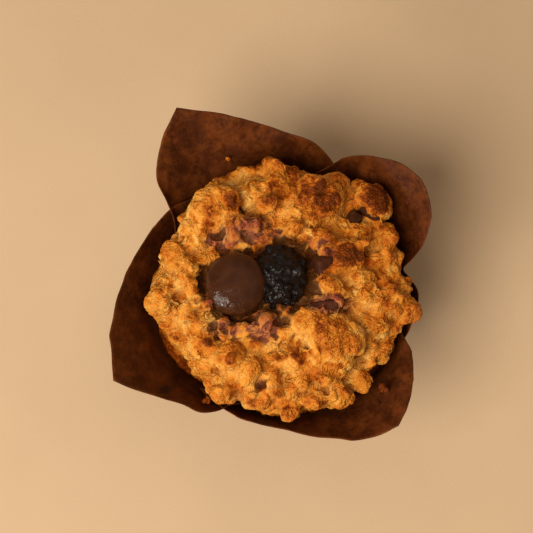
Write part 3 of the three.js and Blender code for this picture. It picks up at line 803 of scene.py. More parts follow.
def wrinkled(grid, share):
    """The sheet with pressed gathers low down and soft waves in its petals."""
    facing = grid_normals(grid)
    flat = grid.reshape(-1, 3)
    angle = np.arctan2(flat[:, 1], flat[:, 0])
    up = flat[:, 2]
    around = np.stack([np.cos(angle) * 30, np.sin(angle) * 30, up * 0.12], axis=1)

    def by_row(start, end):
        return ease(start, end, share).repeat(len(grid), 0).ravel()

    sharp = 1 - np.abs(smooth_noise(around, 5.5, 31)) * 2
    gathers = sharp * by_row(0.0, 0.12) * by_row(0.85, 0.35)
    waves = layered_noise(flat * [1, 1, 0.6], 17, 3, 7)
    creases = 1 - np.abs(smooth_noise(flat * [1, 1, 0.5], 12, 44)) * 2.2
    creases = np.clip(creases, 0, 1) ** 2
    open_part = by_row(0.45, 0.95)
    move = 0.42 * gathers + 0.45 * waves * (0.3 + 0.7 * open_part) + 0.28 * creases * open_part
    move *= by_row(0.0, 0.05)
    room = 0.35 + 0.65 * ease(46, 54, up)
    scuff = np.clip(np.maximum(sharp ** 3, creases ** 2), 0, 1)
    bend = 0.6 * smooth_noise(flat, 7, 51)
    for x0, y0, x1, y1, depth in PAPER_CREASES:
        run = np.array([x1 - x0, y1 - y0])
        length = np.hypot(*run)
        away = flat[:, :2] - [x0, y0]
        share_along = away @ run / length ** 2
        aside = np.abs((away[:, 0] * run[1] - away[:, 1] * run[0]) / length + bend)
        ends = ease(-0.12, 0.1, share_along) * ease(1.12, 0.9, share_along) * open_part
        move += depth * np.clip(1 - aside / 3.6, 0, 1) * ends
        scuff = np.maximum(scuff, np.clip(1 - aside / 0.9, 0, 1) * ends)
    return grid + facing * (move * room).reshape(grid.shape[:2])[..., None], scuff


def sheet_mesh(grid, thick, scuff, foot_rings=8):
    """Two skins of the sheet, closed over its edge and across the flat foot."""
    columns, rows = grid.shape[:2]
    facing = grid_normals(grid)
    points, faces, marks = [], [], []
    numbers = np.arange(columns * rows).reshape(columns, rows)
    following = np.roll(numbers, -1, axis=0)
    squares = np.stack(
        [numbers[:, :-1], following[:, :-1], following[:, 1:], numbers[:, 1:]], axis=-1
    ).reshape(-1, 4)
    for side in (1, -1):
        start = sum(len(part) for part in points)
        points.append((grid + facing * side * thick / 2).reshape(-1, 3))
        marks.append(scuff)
        faces.append(squares[:, ::side] + start)
    inner = columns * rows
    edge, next_edge = numbers[:, -1], following[:, -1]
    faces.append(np.stack([edge, next_edge, next_edge + inner, edge + inner], axis=-1))
    for side in (1, -1):
        skin = 0 if side > 0 else inner
        ring, next_ring = numbers[:, 0] + skin, following[:, 0] + skin
        rim = points[0 if side > 0 else 1].reshape(columns, rows, 3)[:, 0]
        level = 0.0 if side > 0 else thick
        for step in range(1, foot_rings + 1):
            start = sum(len(part) for part in points)
            shrink = 1 - step / (foot_rings + 0.04)
            circle = [rim[:, 0] * shrink, rim[:, 1] * shrink, np.full(columns, level)]
            points.append(np.stack(circle, axis=1))
            marks.append(np.zeros(columns))
            here = np.arange(columns) + start
            there = np.roll(here, -1)
            strip = np.stack([here, there, next_ring, ring], axis=-1)
            faces.append(strip[:, ::side])
            ring, next_ring = here, there
    return np.vstack(points), np.vstack(faces), np.concatenate(marks)


def plug(mesh, thick):
    """Draw the pinholes at the middle of the foot together, skin by skin."""
    with edited(mesh) as shape:
        rim = [vert for vert in shape.verts if vert.is_boundary]
        under = [vert for vert in rim if vert.co.z < thick / 2]
        over = [vert for vert in rim if vert.co.z >= thick / 2]
        bmesh.ops.pointmerge(shape, verts=under, merge_co=(0, 0, 0))
        bmesh.ops.pointmerge(shape, verts=over, merge_co=(0, 0, thick))


def build_cup(sizes):
    """The paper cup, with its scuffs and marks stored on it."""
    thick = sizes.paper / MM
    grid, share = paper_sheet(sizes)
    grid, scuff = wrinkled(grid, share)
    grid[:, 0, 2] = thick / 2
    points, faces, marks = sheet_mesh(grid, thick, scuff)
    points[:, 2] = np.maximum(points[:, 2], 0)
    mesh = bare_mesh("tulip_cup", points, faces)
    smooth = np.ones(len(mesh.polygons), dtype=bool)
    squares = 2 * grid.shape[0] * (grid.shape[1] - 1)
    smooth[squares:squares + grid.shape[0]] = False
    mesh.polygons.foreach_set("use_smooth", smooth)
    dark = np.zeros(len(points))
    for place in PAPER_MARKS:
        away = oval(points, *place) + 0.3 * smooth_noise(points, 1.6, 3)
        dark = np.maximum(dark, ease(1.3, 0.8, away))
    store(mesh, scuff=marks, mark=dark)
    plug(mesh, thick)
    return mesh


# ---------------------------------------------------------------------------
# Crust and crumble
# ---------------------------------------------------------------------------

class Crust:
    """The muffin's plain body, measured on the frame's own solid."""

    def __init__(self, sizes):
        solid = bpy.data.objects["muffin_cake"]
        self.tree = BVHTree.FromObject(solid, bpy.context.evaluated_depsgraph_get())
        self.top = sizes.crust_top / MM
        self.angles = np.arange(0, 361, 3)
        self.edge = self.ring(CRUST_EDGE) - 0.8

    def ring(self, height):
        """Radius of the body at one height, every three degrees."""
        found = []
        for angle in np.radians(self.angles):
            way = Vector((math.cos(angle), math.sin(angle), 0))
            start = way * 0.07 + Vector((0, 0, height * MM))
            hit = self.tree.ray_cast(start, -way)[0]
            if hit is None:
                raise RuntimeError(f"the muffin's body has a gap at height {height}")
            found.append(math.hypot(hit.x, hit.y) / MM)
        return np.array(found)

    def edge_at(self, x, y):
        angle = np.degrees(np.arctan2(y, x)) % 360
        return np.interp(angle, self.angles, self.edge)

    def height_at(self, x, y):
        """Height of the dome over a place on the plan."""
        share = np.clip(np.hypot(x, y) / self.edge_at(x, y), 0, 1)
        return CRUST_EDGE + (self.top - CRUST_EDGE) * np.sqrt(1 - share ** 2.3)

    def facing_at(self, x, y, step=0.6):
        """Direction that the dome faces there."""
        height = self.height_at
        slope_x = (height(x + step, y) - height(x - step, y)) / (2 * step)
        slope_y = (height(x, y + step) - height(x, y - step)) / (2 * step)
        out = np.stack([-slope_x, -slope_y, np.ones_like(slope_x)], axis=-1)
        return out / np.linalg.norm(out, axis=-1, keepdims=True)

    def body(self, low, columns=120):
        """The plain closed crust above the height `low`, as rings of points."""
        angles = np.arange(columns) * 360 / columns
        rings = []
        for height in (low, low + 2, 48.5, 51, 53, 55):
            radius = np.interp(angles, self.angles, self.ring(height)) - 0.3
            rings.append(polar(angles, radius, height))
        for share in np.sin(np.linspace(math.pi / 2, 0.03, 26)):
            radius = np.interp(angles, self.angles, self.edge) * share
            flat = polar(angles, radius, 0.0)
            flat[:, 2] = self.height_at(flat[:, 0] * 0.999, flat[:, 1] * 0.999)
            rings.append(flat)
        return ring_stack(rings)


def ring_stack(rings):
    """Closed triangles through rings of points, low to high."""
    columns = len(rings[0])
    points = np.vstack(rings + [rings[0].mean(axis=0), rings[-1].mean(axis=0)])
    here = np.arange(columns)
    there = np.roll(here, -1)
    faces = []
    for level in range(len(rings) - 1):
        a, b = level * columns, (level + 1) * columns
        faces.append(np.stack([here + a, there + a, there + b], axis=-1))
        faces.append(np.stack([here + a, there + b, here + b], axis=-1))
    low, high = len(points) - 2, len(points) - 1
    last = (len(rings) - 1) * columns
    faces.append(np.stack([np.full(columns, low), there, here], axis=-1))
    faces.append(np.stack([np.full(columns, high), here + last, there + last], axis=-1))
    return points, np.vstack(faces)


def surface_frames(facing, turn):
    """Directions lying along and across a surface, turned about its normal."""
    across = np.cross(np.array([0, 1.0, 0]), facing)
    across /= np.linalg.norm(across, axis=-1, keepdims=True)
    along = np.cross(facing, across)
    turn = np.radians(turn)[:, None]
    first = across * np.cos(turn) + along * np.sin(turn)
    second = along * np.cos(turn) - across * np.sin(turn)
    return np.stack([first, second, facing], axis=1)


class Lumps:
    """The large lumps, and how high they stand over any place."""

    def __init__(self, crust):
        self.x, self.y, self.long, self.wide, self.turn = np.array(LUMPS).T[:5]
        self.stand, self.bake, self.rough = np.array(LUMPS).T[5:]
        self.crust = crust
        self.facing = crust.facing_at(self.x, self.y)
        self.frames = surface_frames(self.facing, self.turn)
        self.stand = self.stand * LUMP_STAND
        self.deep = 0.68 * np.minimum(self.long, self.wide) + 1.0
        base = np.stack([self.x, self.y, crust.height_at(self.x, self.y)], axis=1)
        self.centre = base + self.facing * (self.stand - self.deep)[:, None]
        self.sizes = np.stack([self.long, self.wide, self.deep], axis=1)

    def within(self, points):
        """For each point and lump, 0 at the lump's middle and 1 at its skin."""
        away = points[:, None] - self.centre[None]
        local = np.einsum("nkj,kij->nki", away, self.frames)
        return np.linalg.norm(local / self.sizes[None], axis=2)

    def top_at(self, x, y):
        """Height of the crust and its lumps above places on the plan."""
        top = self.crust.height_at(x, y)
        points = np.stack([x, y, top], axis=1)
        for _ in range(10):
            inside = self.within(points).min(axis=1) < 1
            points[:, 2] += np.where(inside, 0.5, 0)
        return points[:, 2]


def crumbs(lumps, rng, count, smallest, largest, reach, sunk, clear, on_lumps):
    """Places, sizes and directions of crumbs strewn over the crust."""
    radius = reach * np.sqrt(rng.random(count))
    angle = rng.random(count) * 360
    x, y, _ = polar(angle, radius, 0.0).T
    inside = radius < lumps.crust.edge_at(x, y) - 0.3
    for (cx, cy, keep) in clear:
        inside &= np.hypot(x - cx, y - cy) > keep
    x, y = x[inside], y[inside]
    plan = np.stack([x, y, lumps.top_at(x, y)], axis=1)
    on_lump = lumps.within(plan)[:, lumps.long > LARGE_LUMP].min(axis=1) < 1.1
    kept = ~on_lump | (rng.random(len(x)) < on_lumps)
    x, y = x[kept], y[kept]
    size = smallest * (largest / smallest) ** (rng.random(len(x)) ** 1.5)
    facing = lumps.crust.facing_at(x, y)
    base = np.stack([x, y, lumps.top_at(x, y)], axis=1)
    stand = size * (1 - sunk * (0.6 + 0.8 * rng.random(len(x))))
    centre = base + facing * (stand - size * 0.6)[:, None]
    sizes = size[:, None] * rng.uniform(0.75, 1.25, (len(x), 3))
    return centre, sizes, random_frames(rng, len(x))


def rim_crumbs(crust, rng, count):
    """Crumbs along the crust's overhanging edge."""
    angle = rng.random(count) * 360
    x, y, _ = polar(angle, 40.0, 0.0).T
    edge = crust.edge_at(x, y)
    height = rng.uniform(47.5, 60.0, count)
    swell = np.sqrt(np.clip(1 - ((height - 57) / 9) ** 2, 0, 1))
    size = 0.8 * 3.2 ** (rng.random(count) ** 1.4)
    radius = edge * (0.93 + 0.07 * swell) - 0.5 * size + rng.uniform(-0.6, 0.5, count)
    sizes = size[:, None] * rng.uniform(0.75, 1.25, (count, 3))
    return polar(angle, radius, height), sizes, random_frames(rng, count)


def cut_below(mesh, height):
    """Cut a mesh level and close the cut with one face."""
    level = {"plane_co": (0, 0, height), "plane_no": (0, 0, 1)}
    with edited(mesh) as shape:
        geometry = shape.verts[:] + shape.edges[:] + shape.faces[:]
        cut = bmesh.ops.bisect_plane(shape, geom=geometry, clear_inner=True, **level)
        rim = [item for item in cut["geom_cut"] if isinstance(item, bmesh.types.BMEdge)]
        bmesh.ops.holes_fill(shape, edges=rim, sides=0)
        bmesh.ops.recalc_face_normals(shape, faces=shape.faces[:])


def keep_inside(points, cup, gap):
    """Pull points back from the paper wherever they come too near it."""
    points = points.copy()
    radius = np.hypot(points[:, 0], points[:, 1])
    for i in np.nonzero((radius > 31) & (points[:, 2] > 42))[0]:
        x, y, z = points[i]
        way = Vector((x, y, 0)).normalized()
        hit = cup.ray_cast(Vector((0, 0, z)), way)[0]
        if hit is not None:
            limit = math.hypot(hit.x, hit.y) - gap
            if radius[i] > limit:
                points[i, :2] *= limit / radius[i]
    return points


def topping_rings():
    """Middle and half size of the button and the berry."""
    rings = []
    for node in ("chocolate_button", "bramble_berry"):
        low, high = box_mm(node)
        rings.append(((low + high) / 2, (high - low) / 2))
    return rings


def near_toppings(points, toppings, start, end, uneven=0.10):
    """1 close round the toppings and 0 away from them, with an uneven border."""
    ring = np.zeros(len(points))
    for middle, half in toppings:
        away = np.linalg.norm((points[:, :2] - middle[:2]) / half[:2], axis=1)
        away = away + uneven * smooth_noise(points, 4.0, 91)
        ring = np.maximum(ring, ease(start, end, away))
    return ring


def crumble_heap(sizes, lumps, toppings, rng):
    """Crust, lumps and crumbs in one skin, and the larger crumbs on their own."""
    clear = [(middle[0], middle[1], min(half[:2]) - 0.6) for middle, half in toppings]
    clear.append(SMOOTH_LUMP)
    large = (lumps.centre, lumps.sizes, lumps.frames)
    medium = crumbs(lumps, rng, 560, 1.2, 3.0, 40, 0.45, clear, 0.22)
    small = crumbs(lumps, rng, 3000, 0.65, 1.4, 41, 0.35, clear, 0.7)
    edge = rim_crumbs(lumps.crust, rng, 640)
    proud = crumbs(lumps, rng, 170, 1.3, 2.7, 39, 0.05, clear, 0.18)
    parts = [lumps.crust.body(CUT_LEVEL - 1)]
    # Detail, kind, roughness, seed, number of flat faces and the nearest of them.
    for detail, kind, rough, seed, facets, nearest in (
        (4, large, 0.17 * lumps.rough, 3, 16, 0.80),
        (3, medium, 0.24, 11, 9, 0.50),
        (2, small, 0.20, 12, 8, 0.50),
        (3, edge, 0.24, 13, 9, 0.50),
        (3, proud, 0.16, 14, 7, 0.55),
    ):
        parts.append(pebbles(detail, *kind, rough, seed, facets, nearest))
    mesh = fused(bare_mesh("crumble", *joined(parts)), sizes.crumb_grain / MM)
    cut_below(mesh, CUT_LEVEL)
    whole_part(mesh)
    return mesh, (medium, edge, proud)


def crumb_lift(points, nubbly, nearness, long, deep, moat):
    """How far grains, gaps and holes move the crumble's skin, in millimetres."""
    warp = np.stack([smooth_noise(points, 2.6, seed) for seed in (61, 62, 63)], axis=1)
    grain = grains(points + 0.7 * warp, 1.7, 5)
    fine_grain = grains(points + 0.3 * warp, 0.95, 9)
    fine_noise = smooth_noise(points, 1.1, 25)
    lift = (0.22 + 0.42 * nubbly) * (0.5 - grain) + (0.32 + 0.28 * nubbly) * (0.48 - fine_grain)
    lift += (0.28 + 0.34 * nubbly) * layered_noise(points, 3.0, 2, 21, 0.6)
    lift += 0.60 * smooth_noise(points, 5.0, 26) + (0.10 + 0.16 * nubbly) * fine_noise
    lift -= deep
    lift -= 1.1 * ease(3.6, 5.2, long) * ease(0.98, 1.10, nearness) * ease(1.38, 1.16, nearness)
    lift -= ease(0.05, 0.7, smooth_noise(points, 8.5, 27)) * ease(1.0, 1.1, nearness)
    return lift - 0.9 * moat


def worn(mesh, points, edges):
    """Fill the skin's deep pits and shave its sharp ridges, three times over."""
    # Direction, share taken, rounds of relaxing, what is left, the most, and softening.
    wear = ((1, 0.85, 24, 0.32, 1.6, 2), (-1, 0.75, 6, 0.16, 0.8, 1))
    for way, share, rounds, left, most, soften in wear * 3:
        facing = normals(mesh)
        low = -way * np.einsum("ij,ij->i", points - relaxed(points, edges, rounds), facing)
        change = relaxed(np.clip(low - left, 0, most), edges, soften)
        points = points + facing * (way * share * change)[:, None]
        move_corners(mesh, points)
    return points


def crumb_tints(points, nubs, rng):
    """How much darker or paler each of the larger crumbs is baked."""
    places = np.vstack([kind[0] for kind in nubs])
    sizes = np.vstack([kind[1] for kind in nubs]).mean(axis=1)
    tree = KDTree(len(places))
    for i, place in enumerate(places):
        tree.insert(place, i)
    tree.balance()
    shades = rng.choice([-0.16, -0.06, 0.12, 0.26], len(places), p=[0.3, 0.25, 0.25, 0.2])
    tint = np.zeros(len(points))
    for i, point in enumerate(points):
        _, nub, away = tree.find(point)
        if away < 1.3 * sizes[nub]:
            tint[i] = shades[nub]
    return tint


def build_cake(sizes, cup):
    """The crumble, with all that its material reads, and the crust under it."""
    rng = np.random.default_rng(sizes.seed)
    crust = Crust(sizes)
    lumps = Lumps(crust)
    toppings = topping_rings()
    mesh, nubs = crumble_heap(sizes, lumps, toppings, rng)

    # Shape: nubbly is 1 where the skin is coarse and 0 where it is smooth.
    edges = edge_pairs(mesh)
    points = relaxed(corners(mesh), edges, 1)
    move_corners(mesh, points)
    facing = relaxed(normals(mesh), edges, 3)
    facing /= np.linalg.norm(facing, axis=1, keepdims=True)
    reach = lumps.within(points)
    nearest = reach.argmin(axis=1)
    nearness = reach[np.arange(len(points)), nearest]
    long = lumps.long[nearest]
    rough = np.where(nearness < 1.35, lumps.rough[nearest], 1.0)
    nubbly = ease(-0.5, 0.6, smooth_noise(points, 5.0, 29))
    top_side = facing[:, 2] + 0.25 * facing[:, 0]
    on_lump = ease(1.12, 0.98, nearness) * ease(4.2, 5.2, long)
    coarse_top = ease(0.50, 1.02, top_side + 0.16 * (nubbly - 0.5))
    nubbly = nubbly * (1 - on_lump) + on_lump * coarse_top
    deep = spots(points, HOLES, 1.25, 0.35)
    moat = near_toppings(points, toppings, 1.34, 1.10)
    lift = crumb_lift(points, nubbly, nearness, long, deep, moat)
    above_cut = ease(45.5, 49, points[:, 2])
    points = points + facing * (lift * rough * above_cut)[:, None]
    move_corners(mesh, points)
    points = keep_inside(worn(mesh, points, edges), cup, PAPER_GAP)
    move_corners(mesh, points)

    # Relief: bulge over a few millimetres and tight over less than one.
    facing = relaxed(normals(mesh), edges, 6)
    bulge = np.einsum("ij,ij->i", points - relaxed(points, edges, 40), facing)
    tight = np.einsum("ij,ij->i", points - relaxed(points, edges, 7), normals(mesh))
    tint = relaxed(crumb_tints(points, nubs, rng), edges, 1)
    lump_bake = relaxed(np.where(nearness < 1.5, lumps.bake[nearest], 0.5), edges, 14)
    x, y, height = points.T
    raised = relaxed(np.clip((height - crust.height_at(x, y)) / 4, -0.5, 1.4), edges, 4)
    sugar = ease(-0.5, 0.8, layered_noise(points, 5.0, 3, 71))
    upward = ease(0.35, 0.95, relaxed(normals(mesh)[:, 2], edges, 8))
    bake = 0.07 + 0.50 * lump_bake * ease(-0.3, 1.3, raised) * (0.35 + 0.65 * upward)
    bake += 0.22 * sugar + 0.12 * nubbly + 0.20 * np.clip(bulge, -0.7, 0.9)
    bake += 0.30 * np.clip(tight, -0.1, 0.14)
    # Painted shade in the second term: the crumble is browned low down, where it sinks into the
    # cup.
    bake += tint * (1 - 0.7 * on_lump) + 0.60 * ease(57, 50, height)
    bake -= 0.16 * on_lump * (1 - nubbly)
    # Painted shade: browner towards +x and +y, the side turned away from the lights.
    bake += 0.13 * ease(5, 40, x + y)
    uneven = 0.35 * smooth_noise(points, 1.8, 75)
    for place in BURNT:
        bake += 0.30 * ease(1.4, 0.3, oval(points, *place) + uneven)
    # Painted shade, stored for the material: hollows, tight creases, the part low in the cup, deep
    # holes and the moat round the toppings.
    hollow = ease(0.3, 1.7, -bulge) * 0.75 + ease(0.08, 0.3, -tight) * 0.35
    hollow = hollow + 0.62 * ease(54, 47, height) + 0.38 * deep + 0.45 * moat
    spilt = spots(points, JUICE, 1.35, 0.5)
    store(
        mesh,
        bake=np.clip(bake, 0, 1.3),
        nubbly=nubbly,
        dip=relaxed(ease(-0.45, 0.70, -0.60 * bulge - 2.0 * tight), edges, 2),
        hollow=np.clip(hollow, 0, 1),
        juice=np.maximum(spilt, near_toppings(points, toppings, 1.40, 1.02)),
        soaked=near_toppings(points, toppings, 1.5, 1.05, 0),
    )
    return mesh, crust


def sponge_rings(crust):
    """The sponge below the crust, hidden by the paper."""
    angles = np.arange(90) * 4.0
    rings = []
    for height in (0.8, 1.6, 6, 12, 18, 24, 30, 36, 41, 46):
        radius = np.interp(angles, crust.angles, crust.ring(max(height, 1.2))) - 0.1
        rings.append(polar(angles, radius - (0.8 if height < 1 else 0), height))
    return ring_stack(rings)


# ---------------------------------------------------------------------------
# Operators
# ---------------------------------------------------------------------------

def length_field(name, description, default):
    return FloatProperty(name=name, description=description, default=default, unit="LENGTH")


def colour_field(name, description, *default):
    return FloatVectorProperty(
        name=name, description=description, default=default, min=0, max=1, subtype="COLOR"
    )


class MuffinSizes(bpy.types.PropertyGroup):
    """Sizes that a user would change."""

    foot_radius: length_field("Foot Radius", "Radius of the cup's flat foot", 0.025)
    paper: length_field("Paper", "Thickness of the cup's paper", 0.00025)
    cup_rows: IntProperty(name="Cup Rows", description="Rows of squares up its wall", default=64)
    crust_top: length_field("Crust Top", "Height of the crust without its lumps", 0.0668)
    crumb_grain: length_field("Crumb Grain", "Finest detail of the crumble's mesh", 0.00046)
    seed: IntProperty(name="Seed", description="Picks another scatter of crumbs", default=4)
    camera_lens: FloatProperty(
        name="Camera Lens", description="Focal length of the camera in millimetres", default=100
    )


class MuffinColours(bpy.types.PropertyGroup):
    """Colours that a user would change."""

    crumb_pale: colour_field("Pale Crumb", "Crumble that the heat hardly reached", 0.68, 0.385, 0.1)
    crumb_golden: colour_field("Golden Crumb", "Well baked crumble", 0.59, 0.23, 0.027)
    crumb_orange: colour_field("Orange Crumb", "Browned sugar on the crumble", 0.46, 0.128, 0.011)
    crumb_brown: colour_field("Brown Crumb", "Tops of the tallest lumps", 0.2, 0.04, 0.0032)
    juice: colour_field("Juice", "Crumble stained by the berry", 0.185, 0.047, 0.037)
    paper_dark: colour_field("Dark Paper", "Paper where fat has soaked in", 0.024, 0.0055, 0.0018)
    paper_light: colour_field("Light Paper", "Dry paper", 0.068, 0.0155, 0.0032)
    chocolate: colour_field("Chocolate", "Melted and set chocolate", 0.037, 0.0102, 0.0034)
    berry: colour_field("Berry", "Skin of the bramble berry", 0.005, 0.0032, 0.0033)
    table: colour_field("Table", "The plain surface underneath", 0.5, 0.36, 0.235)


class MUFFIN_OT_cup(bpy.types.Operator):
    """Fold the tulip cup from its square of paper"""

    bl_idname = "muffin.cup"
    bl_label = "Tulip Cup"

    def execute(self, context):
        mesh = build_cup(context.scene.muffin_sizes)
        add_piece("tulip_cup", mesh, paper_finish, "brown_paper", "tulip_wrapper")
        return {"FINISHED"}


class MUFFIN_OT_cake(bpy.types.Operator):
    """Bake the muffin and the crumble on its crust"""

    bl_idname = "muffin.cake"
    bl_label = "Crumble Muffin"

    def execute(self, context):
        sizes = context.scene.muffin_sizes
        if "tulip_cup" not in bpy.data.objects:
            raise RuntimeError("fold the cup before baking the muffin in it")
        cup_mesh = bpy.data.objects["tulip_cup"].data
        faces = [tuple(face.vertices) for face in cup_mesh.polygons]
        cup = BVHTree.FromPolygons([tuple(point) for point in corners(cup_mesh) / MM], faces)
        crumble, crust = build_cake(sizes, cup)
        sponge = bare_mesh("sponge", *sponge_rings(crust))
        store(sponge, **SPONGE_LOOK)
        whole = united(crumble, sponge)
        smooth_all(whole)
        add_piece("crumble_muffin", whole, crumble_finish, "baked_crumble", "muffin_cake")
        return {"FINISHED"}


class MUFFIN_OT_button(bpy.types.Operator):
    """Melt the chocolate button onto the crust"""

    bl_idname = "muffin.button"
    bl_label = "Chocolate Button"

    def execute(self, context):
        low, high = box_mm("chocolate_button")
        middle = (low + high) / 2
        shape, faces = ball(6)
        out = np.hypot(shape[:, 0], shape[:, 1])
        x, y, up = shape.T
        narrow = 1 + 0.015 * smooth_noise(shape * [1, 1, 0], 0.9, 2)
        narrow = narrow * (1 - 0.05 * ease(0.0, -0.5, up))
        up = np.sign(up) * np.abs(up) ** 0.9
        x = x * narrow * (high[0] - low[0]) / 2
        y = y * narrow * (high[1] - low[1]) / 2
        up = np.where(up > 0, up * BUTTON_ABOVE, up * BUTTON_BELOW)
        points = np.stack([x, y, up], axis=1)
        up = up + 0.25 * layered_noise(points, 5, 2, 4) * ease(1.0, 0.7, out)
        y, up = swung(y, up, math.radians(3))
        up, x = swung(up, x, math.radians(-5))
        points = np.stack([x, y, up], axis=1) + [middle[0], middle[1], high[2] - up.max()]
        toward = (points[:, :2] - middle[:2]) @ np.array([-0.55, -0.83]) / 9.3
        wrinkle = ease(0.0, 0.75, toward + 0.25 * smooth_noise(points, 3, 6))
        wrinkle = wrinkle * ease(1.05, 0.85, out)
        mesh = bare_mesh("button", points, faces)
        lift = 0.065 * layered_noise(points, 1.6, 3, 8, 0.6) * (0.3 + wrinkle)
        move_corners(mesh, points + normals(mesh) * lift[:, None])
        store(mesh, wrinkle=wrinkle)
        smooth_all(mesh)
        add_piece("melted_button", mesh, button_finish, "glossy_chocolate", "chocolate_button")
        return {"FINISHED"}


class MUFFIN_OT_berry(bpy.types.Operator):
    """Grow the bramble berry and press it into the crust"""

    bl_idname = "muffin.berry"
    bl_label = "Bramble Berry"

    def execute(self, context):
        low, high = box_mm("bramble_berry")
        middle, half = (low + high) / 2, (high - low) / 2
        rng = np.random.default_rng(context.scene.muffin_sizes.seed + 20)
        step = np.arange(DRUPELETS) + 0.5
        up = 1 - 2 * step / DRUPELETS
        out = np.sqrt(1 - up ** 2)
        turn = step * GOLDEN_TURN
        places = np.stack([out * np.cos(turn), out * np.sin(turn), up], axis=1)
        places = places + rng.normal(scale=0.07, size=(DRUPELETS, 3))
        uneven = 1 + rng.normal(scale=0.05, size=(DRUPELETS, 1))
        places = places * (half - DRUPELET_RADIUS * 1.05) * uneven + middle
        sizes = DRUPELET_RADIUS * rng.uniform(0.7, 1.2, (DRUPELETS, 3))
        core, triangles = ball(4)
        parts = [(core * (half - DRUPELET_RADIUS * 0.52) + middle, triangles)]
        parts.append(pebbles(3, places, sizes, random_frames(rng, DRUPELETS), 0.16, 31))
        mesh = fused(bare_mesh("berry", *joined(parts)), BERRY_GRAIN)
        points = relaxed(corners(mesh), edge_pairs(mesh), 1)
        move_corners(mesh, points)
        lift = 0.26 * layered_noise(points, 2.4, 3, 35, 0.6)
        lift = lift + 0.22 * (0.45 - grains(points, 1.1, 33))
        points = points + normals(mesh) * lift[:, None]
        move_corners(mesh, np.clip(points, low - 0.5, high + 0.5) - BERRY_SHIFT)
        smooth_all(mesh)
        add_piece("baked_berry", mesh, berry_finish, "bramble_skin", "bramble_berry")
        return {"FINISHED"}


class MUFFIN_OT_chunks(bpy.types.Operator):
    """Press the bits of chocolate into the crumble"""

    bl_idname = "muffin.chunks"
    bl_label = "Chocolate Chunks"

    def execute(self, context):
        for number, (sunk, warm) in enumerate(zip(CHUNK_SUNK, CHUNK_WARM), 1):
            node = f"chocolate_chunk_{number}"
            points, faces = ball(5)
            cube = np.sign(points) * np.abs(points) ** 0.42
            cube /= np.abs(cube).max(axis=0)
            low, high = box_mm(node)
            solid = corners(bpy.data.objects[node].data) / MM
            spread = solid - solid.mean(axis=0)
            directions = np.linalg.svd(spread, full_matrices=False)[2]
            directions[2] *= np.sign(np.linalg.det(directions))
            reach = np.abs(spread @ directions.T).max(axis=0)
            shaped = (cube * reach * 0.94) @ directions
            shaped *= (1 + 0.09 * smooth_noise(shaped, 2.6, 40 + number))[:, None]
            shaped += (low + high) / 2 - np.array([0, 0, sunk])
            mesh = bare_mesh(node, shaped, faces)
            lift = 0.16 * layered_noise(shaped, 1.7, 3, 50 + number)
            move_corners(mesh, shaped + normals(mesh) * lift[:, None])
            store(mesh, warm=warm)
            smooth_all(mesh)
            add_piece(f"melted_chunk_{number}", mesh, chunk_finish, "dark_chocolate", node)
        return {"FINISHED"}


class MUFFIN_OT_crumbs(bpy.types.Operator):
    """Drop the loose crumbs onto the paper"""

    bl_idname = "muffin.crumbs"
    bl_label = "Loose Crumbs"

    def execute(self, context):
        rng = np.random.default_rng(context.scene.muffin_sizes.seed + 60)
        count = 7
        for number, darkness in enumerate(CRUMB_BAKE, 1):
            node = f"loose_crumb_{number}"
            low, high = box_mm(node)
            middle, half = (low + high) / 2, (high - low) / 2
            places = middle + rng.normal(scale=0.33, size=(count, 3)) * half
            sizes = half.mean() * rng.uniform(0.35, 0.62, (count, 3))
            blobs = pebbles(3, places, sizes, random_frames(rng, count), 0.2, 70 + number)
            mesh = fused(bare_mesh(node, *blobs), LOOSE_GRAIN)
            points = corners(mesh)
            lift = 0.2 * (0.5 - grains(points, 0.8, 80 + number))
            points = points + normals(mesh) * lift[:, None]
            move_corners(mesh, points)
            bake = darkness + 0.2 * smooth_noise(points, 1.5, 90)
            store(mesh, bake=bake, hollow=0, juice=0, soaked=0, nubbly=0.8, dip=0.4)
            smooth_all(mesh)
            add_piece(f"dropped_crumb_{number}", mesh, crumble_finish, "baked_crumble", node)
        return {"FINISHED"}


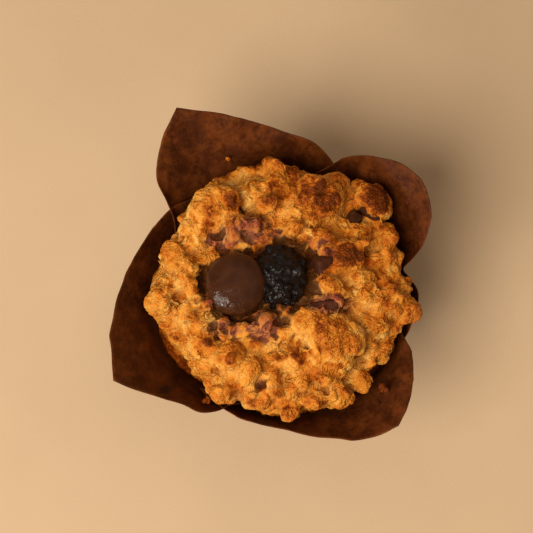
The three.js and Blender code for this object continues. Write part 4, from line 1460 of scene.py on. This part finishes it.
class MUFFIN_OT_stage(bpy.types.Operator):
    """Lay the table, hang the lights and set the camera"""

    bl_idname = "muffin.stage"
    bl_label = "Table, Lights and Camera"

    def execute(self, context):
        scene = context.scene
        # The table is flat to 1.1 m out, curves up by a radius of 0.5 m and ends upright.
        profile = [(1e-4, 0), (0.3, 0), (0.7, 0), (1.1, 0)]
        for turn in np.linspace(0.15, 1.5, 10):
            profile.append((1.1 + 0.5 * math.sin(turn), 0.5 - 0.5 * math.cos(turn)))
        profile.append((1.6, 1.2))
        round_angles = np.arange(96) * 3.75
        points, faces = ring_stack([polar(round_angles, out, up) for out, up in profile])
        open_above = (faces != len(points) - 1).all(axis=1)
        mesh = bare_mesh("table", points, faces[open_above])
        smooth_all(mesh)
        mesh.materials.append(finish(floor_finish))
        table = bpy.data.objects.new("table", mesh)
        scene.collection.objects.link(table)

        aim = Vector(AIM)
        for name, turn, rise, away, size, power, colour in LIGHTS:
            light = bpy.data.lights.new(name, "AREA")
            light.shape = "DISK"
            light.size = size
            light.energy = power
            light.color = colour
            lamp = bpy.data.objects.new(name, light)
            lamp.visible_glossy = name == "low_window"
            rise = math.radians(rise)
            way = Vector(polar(turn, math.cos(rise), math.sin(rise)))
            lamp.location = aim + way * away
            lamp.rotation_euler = way.to_track_quat("Z", "Y").to_euler()
            scene.collection.objects.link(lamp)

        world = bpy.data.worlds.new("soft_room")
        world.use_nodes = True
        background = world.node_tree.nodes["Background"]
        background.inputs["Color"].default_value = (1.0, 0.84, 0.65, 1)
        background.inputs["Strength"].default_value = 0.20
        scene.world = world

        lens = bpy.data.cameras.new("camera")
        lens.lens = scene.muffin_sizes.camera_lens
        lens.sensor_width = 36
        lens.clip_start = 0.01
        camera = bpy.data.objects.new("camera", lens)
        tilt = math.radians(CAMERA_TILT)
        camera.location = aim + Vector((0, -math.sin(tilt), math.cos(tilt))) * CAMERA_AWAY
        camera.rotation_euler = (tilt, 0, 0)
        scene.collection.objects.link(camera)
        scene.camera = camera
        scene.view_settings.view_transform = "Standard"
        return {"FINISHED"}


class MUFFIN_PT_panel(bpy.types.Panel):
    """The muffin's pieces, sizes and colours"""

    bl_label = "Tulip Cup Muffin"
    bl_idname = "MUFFIN_PT_panel"
    bl_space_type = "VIEW_3D"
    bl_region_type = "UI"
    bl_category = "Muffin"

    def draw(self, context):
        for operator in OPERATORS:
            self.layout.operator(operator.bl_idname)
        for group in (context.scene.muffin_sizes, context.scene.muffin_colours):
            box = self.layout.box()
            for name in group.__annotations__:
                box.prop(group, name)


OPERATORS = (
    MUFFIN_OT_stage,
    MUFFIN_OT_cup,
    MUFFIN_OT_cake,
    MUFFIN_OT_button,
    MUFFIN_OT_berry,
    MUFFIN_OT_chunks,
    MUFFIN_OT_crumbs,
)
CLASSES = (MuffinSizes, MuffinColours, *OPERATORS, MUFFIN_PT_panel)


def register():
    for item in CLASSES:
        bpy.utils.register_class(item)
    bpy.types.Scene.muffin_sizes = PointerProperty(type=MuffinSizes)
    bpy.types.Scene.muffin_colours = PointerProperty(type=MuffinColours)


def unregister():
    del bpy.types.Scene.muffin_colours
    del bpy.types.Scene.muffin_sizes
    for item in reversed(CLASSES):
        bpy.utils.unregister_class(item)


def main():
    register()
    bpy.ops.muffin.stage()
    bpy.ops.muffin.cup()
    bpy.ops.muffin.cake()
    bpy.ops.muffin.button()
    bpy.ops.muffin.berry()
    bpy.ops.muffin.chunks()
    bpy.ops.muffin.crumbs()


if __name__ == "__main__":
    main()
